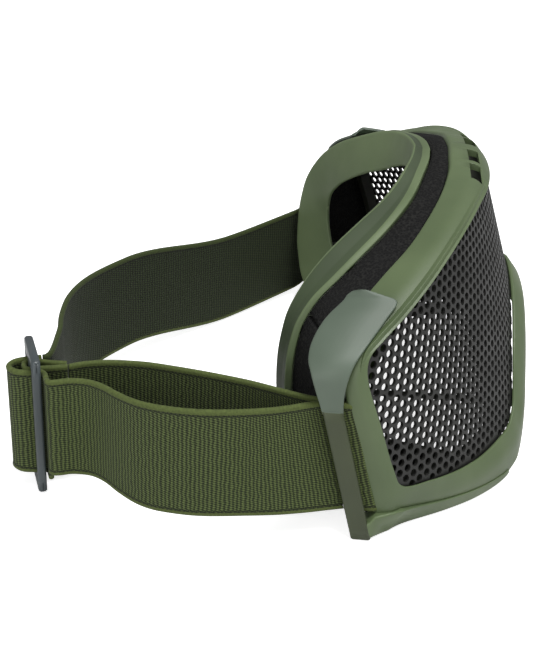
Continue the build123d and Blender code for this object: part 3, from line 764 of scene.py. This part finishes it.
FRAME_MATERIAL = moulded("frame_plastic", (76, 91, 60), (90, 105, 71), 0.48)
FLANGE_MATERIAL = moulded("flange_rubber", (80, 95, 63), (97, 112, 78), 0.58, 1800.0, 0.2)
# A darker copy of the flange rubber: painted shade on the steep outer wall.
FLANGE_WALL_SHADE_MATERIAL = moulded("flange_rubber_painted_shade", (50, 62, 40), (62, 75, 50), 0.62, 1800.0, 0.2)
BODY_MATERIAL = moulded("inner_plastic", (26, 28, 22), (38, 40, 32), 0.6)
LENS_MATERIAL = moulded("lens_steel", (20, 20, 19), (31, 31, 29), 0.52, 3000.0, 0.15)
SLIDER_MATERIAL = moulded("slider_plastic", (48, 55, 58), (64, 71, 73), 0.38)
FOAM_MATERIAL = foam_material("open_foam")
CLIP_MATERIAL = clip_material("clip_plastic")
STRAP_MATERIAL = webbing("strap_weave", (24, 31, 13), (90, 103, 57), (86, 98, 50))
# A darker copy of the weave: painted shade for the strap's inner face.
STRAP_INSIDE_SHADE = webbing("strap_weave_inside_painted_shade", (16, 21, 9), (50, 61, 33), (62, 73, 37))


# Front frame, flange and foam.
def place(obj, body, slot, node):
    """Attach the object to its body and hide the solid that it stands for. The slot is not used."""
    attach(obj, body)
    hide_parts(node)
    return obj


def cut_windows(shell):
    """Cut the brow windows down through the raised brow."""
    points = []
    faces = []
    for side in (RIGHT, LEFT):
        for i in range(VENT_COUNT):
            near = VENT_START + i * (VENT_WIDTH + VENT_RIB)
            far = near + VENT_WIDTH
            first = len(points)
            for z in (VENT_FLOOR, VENT_FLOOR + VENT_HEIGHT):
                for x, y in ((near, VENT_FRONT), (far, VENT_FRONT), (far, VENT_REAR), (near, VENT_REAR)):
                    points.append(Vector((side * x, y, z)))
            box = [(3, 2, 1, 0), (4, 5, 6, 7), (0, 1, 5, 4), (1, 2, 6, 5), (2, 3, 7, 6), (3, 0, 4, 7)]
            box = box if side == LEFT else flipped(box)
            faces += [tuple(first + j for j in face) for face in box]
    cutter = new_mesh("window_cutter", points, faces, FRAME_MATERIAL, smooth=False)
    cut = shell.modifiers.new("windows", "BOOLEAN")
    cut.operation = "DIFFERENCE"
    cut.solver = "EXACT"
    cut.object = cutter
    graph = bpy.context.evaluated_depsgraph_get()
    mesh = bpy.data.meshes.new_from_object(shell.evaluated_get(graph))
    shell.modifiers.clear()
    shell.data = mesh
    bpy.data.objects.remove(cutter)


points, faces = ring(frame_section, FRAME_STEPS)
shell = new_mesh("frame_shell", points, faces, FRAME_MATERIAL)
cut_windows(shell)
place(shell, "goggle", "frame", "front_frame")
points, faces = ring(flange_section, FLANGE_STEPS)
# The outer wall, from the ridge down to the rim, gets a darker copy of the rubber as painted shade.
gutter = new_mesh("flange_gutter", points, flipped(faces), FLANGE_MATERIAL)
gutter.data.materials.append(FLANGE_WALL_SHADE_MATERIAL)
around = len(flange_section(0))
for i, polygon in enumerate(gutter.data.polygons):
    if WALL_FIRST <= i % around <= WALL_LAST:
        polygon.material_index = 1
place(gutter, "goggle", "flange", "face_flange")


def foam_strip(name, first, last, node, mirror, both_sides=False):
    length = last - first
    sections = [strip_section(first + length * i / FOAM_STEPS) for i in range(FOAM_STEPS + 1)]
    sections = [[Vector((p.x, p.y, max(p.z, 0.0))) for p in section] for section in sections]
    if both_sides:
        sections = mirrored_sections(sections)
    points, faces = loft(sections)
    if mirror:
        points = mirror_points(points)
        faces = flipped(faces)
    obj = place(new_mesh(name, points, faces, FOAM_MATERIAL), "goggle", "foam", node)


foam_strip("brow_pad", 0.0, BROW_STATION, "brow_foam", False, True)
foam_strip("right_cheek_pad", CHEEK_START, CHEEK_END, "right_cheek_foam", False)
foam_strip("left_cheek_pad", CHEEK_START, CHEEK_END, "left_cheek_foam", True)


# Perforated lens.
def outline_points():
    right = [opening_at(LAST * i / OUTLINE_STEPS) for i in range(OUTLINE_STEPS + 1)]
    return np.array(right + [(-a, h) for a, h in reversed(right[1:-1])])


OUTLINE = outline_points()


def beyond(places):
    """How far each place on the lens is outside the opening, and the nearest place of its edge."""
    a = OUTLINE
    b = np.roll(OUTLINE, -1, axis=0)
    best = np.full(len(places), 1e9)
    near = np.zeros((len(places), 2))
    inside = np.zeros(len(places), bool)
    for p, q in zip(a, b):
        d = q - p
        t = np.clip(((places - p) @ d) / max(d @ d, TINY), 0, 1)
        foot = p + t[:, None] * d
        gap = np.hypot(*(places - foot).T)
        closer = gap < best
        best[closer] = gap[closer]
        near[closer] = foot[closer]
        if p[1] != q[1]:
            hit = ((p[1] > places[:, 1]) != (q[1] > places[:, 1]))
            cut = p[0] + (places[:, 1] - p[1]) * (q[0] - p[0]) / (q[1] - p[1])
            inside ^= hit & (places[:, 0] < cut)
    return np.where(inside, -best, best), near


def lens_mesh():
    """One sheet of six-sided cells, each with its round hole, pulled in to the rim at the edge."""
    n = HOLE_SIDES
    rise = HOLE_PITCH * math.sqrt(3) / 2
    centres = []
    for row in HOLE_ROWS:
        height = HOLE_START_HEIGHT + row * rise
        offset = HOLE_PITCH / 2 if row % 2 else 0.0
        for i in HOLE_PLACES:
            centres.append((HOLE_START_ARC + i * HOLE_PITCH + offset, height))
    centres = np.array(centres)
    out, near = beyond(centres)
    keep = out < HOLE_FARTHEST
    centres = centres[keep]
    holed = out[keep] < -HOLE_EDGE
    corner = HOLE_PITCH / math.sqrt(3)
    turns = [2 * math.pi * i / n + math.pi / 6 for i in range(n)]
    outer = []
    for i, turn in enumerate(turns):
        r = corner if i % 2 == 0 else HOLE_PITCH / 2
        outer.append((r * math.cos(turn), r * math.sin(turn)))
    inner = [(HOLE_RADIUS * math.cos(t), HOLE_RADIUS * math.sin(t)) for t in turns]
    places = (centres[:, None, :] + np.array(outer)[None]).reshape(-1, 2)
    out, near = beyond(places)
    far = out > LENS_OVERLAP
    pull = near + (places - near) * (LENS_OVERLAP / np.maximum(out, 1e-6))[:, None]
    places[far] = pull[far]
    places = places.reshape(-1, n, 2)
    points = []
    faces = []
    for centre, ring_places, hole in zip(centres, places, holed):
        base = len(points)
        for above in (0.0, -LENS_THICKNESS):
            points += [on_lens(p[0], p[1], above) for p in ring_places]
        if not hole:
            faces.append(tuple(base + i for i in reversed(range(n))))
            faces.append(tuple(base + n + i for i in range(n)))
            continue
        for above in (0.0, -LENS_THICKNESS):
            points += [on_lens(centre[0] + u, centre[1] + v, above) for u, v in inner]
        inside = base + n
        hole_out = base + 2 * n
        hole_in = base + 3 * n
        for i in range(n):
            j = (i + 1) % n
            faces.append((base + j, base + i, hole_out + i, hole_out + j))
            faces.append((inside + i, inside + j, hole_in + j, hole_in + i))
            faces.append((hole_out + j, hole_out + i, hole_in + i, hole_in + j))
    return points, faces


points, faces = lens_mesh()
sheet = new_mesh("lens_sheet", points, faces, LENS_MATERIAL, smooth=False)
place(sheet, "goggle", "lens_metal", "mesh_lens")


# Clips.
def slab_section(z, front, rear, inner, outer, radius):
    """A level, rounded outline between two y places and two distances from the middle."""
    places = ((inner, front), (outer, front), (outer, rear), (inner, rear))
    return rounded([Vector((-x, y, z)) for x, y in places], (radius,) * 4)


def plate_section(row):
    """The plate cut level at one row: its inner face from front to rear, then its outer face back."""
    x, z, front, rear = [share * UNIT for share in row[:4]]
    tilt = math.radians(row[4])
    wall = CLIP_WALL - (CLIP_WALL - PLATE_TIP_WALL) * min(1.0, row[4] / PLATE_THIN_TILT)
    curl = PLATE_CURL * min(1.0, row[4] / PLATE_CURL_TILT)
    way = Vector((-math.cos(tilt), 0, math.sin(tilt)))
    inner = []
    for i in range(PLATE_COLUMNS + 1):
        t = i / PLATE_COLUMNS
        bend = curl * max(0.0, (t - PLATE_CURL_START) / (1 - PLATE_CURL_START)) ** 2
        inner.append(Vector((-x, front + (rear - front) * t, z)) - way * bend)
    outer = [p + way * wall for p in reversed(inner)]
    return rounded(inner + outer, (PLATE_ROUND,) * (2 * PLATE_COLUMNS + 2), 2)


def arm_section(k):
    """The arm cut across at a station, lying on the frame's rear part and never below the floor."""
    part = (k - ARM_START) / (ARM_END - ARM_START)
    high = 1 - (1 - ARM_TALL_SHARE) * (1 - part * ARM_TAPER_SHARE)
    rise = ARM_GAP + crest_rise(k) * (1 - high) / (1 - CREST_SHARE)
    thickness = ARM_SKIN + ARM_ROOT * (1 - part) ** 3
    corners = [
        frame_point(k, high, rise - ARM_SKIN),
        frame_point(k, 1, -ARM_SKIN),
        frame_point(k, 1, thickness),
        frame_point(k, high, rise - ARM_GAP + thickness),
    ]
    return [Vector((p.x, p.y, max(p.z, 0.0))) for p in rounded(corners, (ARM_ROUND,) * 4)]


def bar_sections():
    """The bar that the strap is held by, with its top end drawn in under the plate."""
    inner = CLIP_INNER_X + BAR_OUTWARD
    outer = CLIP_INNER_X + CLIP_WALL
    lean = BAR_LEAN * BAR_TOP
    sections = []
    for i in range(BAR_STEPS + 1):
        z = BAR_TOP * i / BAR_STEPS
        front = BAR_FRONT_AT_FLOOR + lean * i / BAR_STEPS
        rear = front + BAR_WIDTH + BAR_SWELL
        sections.append(slab_section(z, front - BAR_SWELL, rear, inner, outer + BAR_SWELL, BAR_ROUND))
    front += BAR_END_INSET
    rear = front + BAR_WIDTH - 2 * BAR_END_INSET
    z = BAR_TOP + BAR_END_RISE
    sections.append(slab_section(z, front, rear, inner, outer - BAR_END_INSET, BAR_END_ROUND))
    return sections


def arm_sections():
    """The heel at the bar's foot, then the arm that runs under the frame from it."""
    foot_top = STRAP_BOTTOM_AT_CLIP - ARM_DROP
    inner = CLIP_INNER_X - HEEL_INWARD
    sections = []
    for ahead, low, drop, wide in HEEL_ENDS:
        y = BAR_FRONT_AT_FLOOR + ahead
        top = foot_top - drop
        outer = CLIP_INNER_X + wide
        corners = [Vector((-x, y, z)) for x, z in ((inner, top), (inner, low), (outer, low), (outer, top))]
        sections.append(rounded(corners, HEEL_ROUNDS))
    length = ARM_END - ARM_START
    for i in range(ARM_FIRST_STEP, ARM_STEPS + 1):
        sections.append(arm_section(ARM_START + length * i / ARM_STEPS))
    return sections


def clip_parts():
    rows = len(PLATE_SHARES) - 1
    plate = [plate_section(between(PLATE_SHARES, rows * i / PLATE_STEPS)) for i in range(PLATE_STEPS + 1)]
    return [loft(bar_sections()), loft(plate)], [loft(arm_sections())]


def clip_body(name, node, mirror):
    """One clip: grey plate and olive bar, with the heel and arm in the frame's colour."""
    upper, arm = clip_parts()
    points, faces = joined(upper + arm)
    arm_faces = sum(len(part[1]) for part in arm)
    if mirror:
        points = mirror_points(points)
    else:
        faces = flipped(faces)
    obj = new_mesh(name, points, faces, CLIP_MATERIAL)
    obj.data.materials.append(FRAME_MATERIAL)
    for polygon in obj.data.polygons[len(faces) - arm_faces:]:
        polygon.material_index = 1
    place(obj, "goggle", "clip", node)


clip_body("right_clip_body", "right_clip", False)
clip_body("left_clip_body", "left_clip", True)


# Straps.
def resampled(rows, step):
    """Rows at an even step along the strap's lower edge, each with its run from the start."""
    run = [0.0]
    for a, b in zip(rows, rows[1:]):
        run.append(run[-1] + (b[0] - a[0]).length)
    count = max(2, int(run[-1] / step))
    out = []
    i = 0
    for j in range(count + 1):
        r = run[-1] * j / count
        while i < len(run) - 2 and run[i + 1] < r:
            i += 1
        t = (r - run[i]) / max(run[i + 1] - run[i], TINY)
        out.append((rows[i][0].lerp(rows[i + 1][0], t), rows[i][1].lerp(rows[i + 1][1], t), r))
    return out


def strap_profile():
    """The band's section as heights and thicknesses: a thin middle with rolled edges."""
    half = STRAP_HEIGHT / 2
    flat = STRAP_THICKNESS / 2
    side = []
    margin = ROLL_WIDTH * ROLL_MARGIN
    for i in range(ROLL_STEPS + 1):
        side.append((-half + margin + (2 * half - margin * 2) * i / ROLL_STEPS, flat))
    top = []
    for i in range(ROLL_STEPS + 1):
        a = math.pi * i / ROLL_STEPS
        top.append((half - ROLL_RADIUS + ROLL_RADIUS * math.sin(a), ROLL_RADIUS * math.cos(a)))
    up = side + top
    down = [(-h, -t) for h, t in up]
    return up + down


PROFILE = strap_profile()


def band(name, rows, body, node):
    """A strap along rows of bottom and top points."""
    rows = resampled(rows, ROW_STEP)
    points = []
    uvs = []
    count = len(PROFILE)
    for i, (low, top, run) in enumerate(rows):
        a = rows[max(i - 1, 0)]
        b = rows[min(i + 1, len(rows) - 1)]
        way = (b[0] + b[1]) - (a[0] + a[1])
        side = Vector((-way.y, way.x, 0)).normalized()
        middle = (low + top) / 2
        up = (top - low) / (top - low).length
        squeeze = (top - low).length / STRAP_HEIGHT
        for h, t in PROFILE:
            points.append(middle + up * (h * squeeze) + side * t)
            uvs.append((run, h))
    faces = capped_faces(len(rows), count)
    obj = new_mesh(name, points, flipped(faces), STRAP_MATERIAL, uvs)
    if name == "back_band":
        # The side towards the head gets a darker copy of the weave: painted shade on the inner face.
        obj.data.materials.append(STRAP_INSIDE_SHADE)
        half_count = count // 2
        for i, polygon in enumerate(obj.data.polygons):
            if i < (len(rows) - 1) * count and i % count < half_count:
                polygon.material_index = 1
    if body == "both":
        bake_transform(obj)
    else:
        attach(obj, body)
    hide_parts(node)


def smooth(points, steps):
    out = []
    for i in range(len(points) - 1):
        for j in range(steps):
            before = points[max(i - 1, 0)]
            after = points[min(i + 2, len(points) - 1)]
            out.append(tuple(spline(before, points[i], points[i + 1], after, j / steps)))
    out.append(points[-1])
    return out


def between_shares(table, part):
    """The table's value at a share of the run, eased from row to row."""
    for (a, low), (b, high) in zip(table, table[1:]):
        if part <= b:
            t = (part - a) / (b - a)
            return low + (high - low) * t * t * (3 - 2 * t)
    return table[-1][1]


def strap_rows(path_shares, drops, lifts):
    """Bottom and top points along a path, leaning like the clip's bar where they leave it."""
    path = smooth([(x * UNIT, y * UNIT) for x, y in path_shares], PATH_STEPS)
    run = [0.0]
    for a, b in zip(path, path[1:]):
        run.append(run[-1] + math.hypot(b[0] - a[0], b[1] - a[1]))
    rows = []
    for (x, y), r in zip(path, run):
        part = r / run[-1]
        low = STRAP_BOTTOM_AT_CLIP + (STRAP_BOTTOM_AT_SLIDER - STRAP_BOTTOM_AT_CLIP) * part
        low -= between_shares(drops, part) * STRAP_HEIGHT
        top = low + STRAP_HEIGHT
        low += between_shares(lifts, part) * STRAP_HEIGHT
        lean = BAR_LEAN * max(0.0, 1 - r / (UNIT * BAR_LEAN)) * STRAP_HEIGHT / 2
        rows.append((Vector((x, y - lean, low)), Vector((x, y + lean, top))))
    return rows


def bar_middle(z):
    return BAR_FRONT_AT_FLOOR + BAR_WIDTH / 2 + BAR_LEAN * z


def wrap_rows(side):
    """The strap's turn at a clip: both layers lie inside the bar and fill the slot ahead of it."""
    offsets = [(WRAP_REACH_X, WRAP_TAIL)]
    for i in range(WRAP_STEPS + 1):
        a = math.pi * i / WRAP_STEPS
        flat = math.copysign(math.sqrt(abs(math.cos(a))), math.cos(a))
        offsets.append((WRAP_REACH_X * flat, -WRAP_REACH_Y * math.sqrt(abs(math.sin(a)))))
    offsets.append((-WRAP_REACH_X, WRAP_TAIL))
    rows = []
    low = STRAP_BOTTOM_AT_CLIP
    top = low + STRAP_HEIGHT
    for dx, dy in offsets:
        x = side * (WRAP_MIDDLE_X + dx)
        rows.append((Vector((x, bar_middle(low) + dy, low)), Vector((x, bar_middle(top) + dy, top))))
    return rows


def hem_rows():
    """The left turn's free end, sewn flat on the back strap."""
    path = smooth([(x * UNIT, y * UNIT) for x, y in HEM_BASE_SHARES], PATH_STEPS)
    x0 = WRAP_MIDDLE_X + WRAP_REACH_X
    away = HEM_LAYER + HEM_GAP
    low = STRAP_BOTTOM_AT_CLIP
    top = low + STRAP_HEIGHT
    middle = bar_middle((low + top) / 2) + WRAP_TAIL + STRAP_GAP
    full = BAR_LEAN * (top - low) / 2
    rows = []
    for d in (0.0, HEM_LAYER):
        rows.append((Vector((x0, middle + d - full, low)), Vector((x0, middle + d + full, top))))
    whole = sum(math.hypot(b[0] - a[0], b[1] - a[1]) for a, b in zip(path, path[1:]))
    run = 0.0
    for a, b in zip(path, path[1:]):
        step = math.hypot(b[0] - a[0], b[1] - a[1])
        run += step
        drop = between_shares(BACK_DROP_SHARES, run / whole) * STRAP_HEIGHT
        drop += (STRAP_BOTTOM_AT_CLIP - STRAP_BOTTOM_AT_SLIDER) * run / whole
        if HEM_START < run < HEM_START + HEM_LENGTH:
            x = b[0] - (a[1] - b[1]) / step * away
            y = b[1] - (b[0] - a[0]) / step * away
            lean = full * max(0.0, 1 - run / (UNIT * BAR_LEAN))
            rows.append((Vector((x, y - lean, low - drop)), Vector((x, y + lean, top - drop))))
    return rows


# The slider's own directions.
SLIDER_WAY = (SLIDER_FAR - SLIDER_NEAR).normalized()
SLIDER_SIDE = Vector((-SLIDER_WAY.y, SLIDER_WAY.x, 0))
SLIDER_LENGTH = (SLIDER_FAR - SLIDER_NEAR).length


def slider_at(along, out, z):
    p = SLIDER_NEAR + SLIDER_WAY * along + SLIDER_SIDE * out
    return Vector((p.x, p.y, z))


def slider_band(path_shares):
    path = smooth([(u * SLIDER_BAR, v * SLIDER_BAR) for u, v in path_shares], PATH_STEPS)
    low = STRAP_BOTTOM_AT_SLIDER
    rows = []
    for u, v in path:
        along = SLIDER_LENGTH / 2 + u
        rows.append((slider_at(along, v, low), slider_at(along, v, low + STRAP_HEIGHT)))
    return rows


outer_rows = strap_rows(OUTER_PATH_SHARES, LEVEL_SHARES, OUTER_LIFT_SHARES)
inner_rows = strap_rows(INNER_PATH_SHARES, LEVEL_SHARES, LEVEL_SHARES)
back_rows = strap_rows(BACK_PATH_SHARES, BACK_DROP_SHARES, LEVEL_SHARES)
band("outer_band", outer_rows, "both", "outer_strap")
band("inner_band", inner_rows, "both", "inner_strap")
band("back_band", back_rows, "both", "back_strap")
band("right_wrap_band", wrap_rows(RIGHT), "goggle", "right_strap_wrap")
band("left_wrap_band", wrap_rows(LEFT), "goggle", "left_strap_wrap")
band("left_hem_band", hem_rows(), "goggle", "left_strap_hem")
band("turn_band", slider_band(TURN_PATH_SHARES), "slider", "strap_turn")
band("slider_hem_band", slider_band(HEM_PATH_SHARES), "slider", "slider_hem")


# Slider.
def slider_box(left, right, deep, z, radius):
    """A level, rounded outline across the slider."""
    places = ((left, -deep), (right, -deep), (right, deep), (left, deep))
    return rounded([slider_at(along, out, z) for along, out in places], (radius,) * 4)


def slider_parts():
    """Three upright bars and two end bars, all rounded."""
    half = SLIDER_BAR / 2
    t = SLIDER_THICKNESS / 2
    parts = []
    for middle in (0.0, SLIDER_LENGTH / 2, SLIDER_LENGTH):
        sections = []
        for i in range(SLIDER_STEPS + 1):
            z = SLIDER_BAR_INSET + (SLIDER_TOP - 2 * SLIDER_BAR_INSET) * i / SLIDER_STEPS
            sections.append(slider_box(middle - half, middle + half, t, z, SLIDER_BAR_ROUND))
        parts.append(loft(sections))
    for low, high in ((0.0, SLIDER_END), (SLIDER_TOP - SLIDER_END, SLIDER_TOP)):
        sections = []
        chamfer = SLIDER_CHAMFER
        for z, inset in ((low, chamfer), (low + chamfer, 0.0), (high - chamfer, 0.0), (high, chamfer)):
            right = SLIDER_LENGTH + half - inset
            deep = t - inset * SLIDER_CHAMFER_SHARE
            sections.append(slider_box(-half + inset, right, deep, z, SLIDER_END_ROUND))
        parts.append(loft(sections))
    return joined(parts)


points, faces = slider_parts()
place(new_mesh("slider_frame", points, faces, SLIDER_MATERIAL), "slider", "slider_plastic", "slider")


# The inner frame is shown as the solid is.
inner_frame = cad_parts["inner_frame"]
if not inner_frame.material_slots:
    inner_frame.data.materials.append(BODY_MATERIAL)
for slot in inner_frame.material_slots:
    slot.material = BODY_MATERIAL


# Floor, light and camera.
FLOOR_SIZE = 6.0
FLOOR_LEVEL = -0.0005
FLOOR_GLOW = 0.75
WORLD_LIGHT = 0.33
WHITE = (1, 1, 1, 1)


def stage():
    """A pale floor that shows white to the camera apart from the shadow, and an even white world."""
    material, tree, shader = start_material("floor_white", 0.9, 0.2)
    pale = (0.86, 0.86, 0.86, 1)
    paler = (0.88, 0.88, 0.88, 1)
    tone = ramp(tree, noise(tree, 3.0), [(0.3, pale), (0.7, paler)])
    tree.links.new(tone, shader.inputs["Base Color"])
    seen = node_of(tree, "ShaderNodeLightPath")
    glow = node_of(tree, "ShaderNodeEmission")
    glow.inputs["Strength"].default_value = FLOOR_GLOW
    none = node_of(tree, "ShaderNodeEmission")
    none.inputs["Strength"].default_value = 0.0
    pick = node_of(tree, "ShaderNodeMixShader")
    both = node_of(tree, "ShaderNodeAddShader")
    tree.links.new(seen.outputs["Is Camera Ray"], pick.inputs[0])
    tree.links.new(none.outputs[0], pick.inputs[1])
    tree.links.new(glow.outputs[0], pick.inputs[2])
    tree.links.new(shader.outputs[0], both.inputs[0])
    tree.links.new(pick.outputs[0], both.inputs[1])
    tree.links.new(both.outputs[0], tree.nodes["Material Output"].inputs["Surface"])
    bpy.ops.mesh.primitive_plane_add(size=FLOOR_SIZE, location=(0, 0, FLOOR_LEVEL))
    floor = bpy.context.object
    floor.name = "floor"
    floor.data.materials.append(material)
    world = bpy.data.worlds.new("studio")
    bpy.context.scene.world = world
    world.use_nodes = True
    wt = world.node_tree
    for node in list(wt.nodes):
        wt.nodes.remove(node)
    path = node_of(wt, "ShaderNodeLightPath")
    soft = node_of(wt, "ShaderNodeBackground")
    soft.inputs["Color"].default_value = WHITE
    soft.inputs["Strength"].default_value = WORLD_LIGHT
    white = node_of(wt, "ShaderNodeBackground")
    white.inputs["Color"].default_value = WHITE
    white.inputs["Strength"].default_value = 1.0
    choose = node_of(wt, "ShaderNodeMixShader")
    out = node_of(wt, "ShaderNodeOutputWorld")
    wt.links.new(path.outputs["Is Camera Ray"], choose.inputs[0])
    wt.links.new(soft.outputs[0], choose.inputs[1])
    wt.links.new(white.outputs[0], choose.inputs[2])
    wt.links.new(choose.outputs[0], out.inputs["Surface"])


def lamp(name, place, aim, size, power):
    data = bpy.data.lights.new(name, "AREA")
    data.size = size
    data.energy = power
    obj = bpy.data.objects.new(name, data)
    bpy.context.scene.collection.objects.link(obj)
    obj.location = place
    obj.rotation_euler = (Vector(aim) - Vector(place)).to_track_quat("-Z", "Y").to_euler()


stage()
lamp("key", (-0.25, -0.25, 1.15), (0.0, 0.0, 0.03), 0.5, 11.5)
lamp("fill", (-0.8, 0.3, 0.35), (0.0, 0.0, 0.03), 0.6, 2.2)
lamp("rim", (0.3, -0.6, 0.7), (0.0, 0.0, 0.05), 0.5, 0.4)

# The camera was fitted to the lattice of holes in the photograph.
CAMERA_PLACE = Vector((-366.2, 11.7, 197.6))
CAMERA_RIGHT = Vector((0.0774, -0.99619, 0.04028))
CAMERA_UP = Vector((0.44514, 0.07068, 0.89267))
CAMERA_LENS = 60.89
CAMERA_SENSOR = 36.0
camera_data = bpy.data.cameras.new("camera")
camera_data.sensor_width = CAMERA_SENSOR
camera_data.lens = CAMERA_LENS
camera_data.clip_start = 0.01
camera = bpy.data.objects.new("camera", camera_data)
bpy.context.scene.collection.objects.link(camera)
back = CAMERA_RIGHT.cross(CAMERA_UP).normalized()
up = back.cross(CAMERA_RIGHT).normalized()
turn = Matrix((CAMERA_RIGHT.normalized(), up, back)).transposed().to_4x4()
camera.matrix_world = Matrix.Translation(to_metres(CAMERA_PLACE)) @ turn
bpy.context.scene.camera = camera
bpy.context.scene.view_settings.view_transform = "Standard"
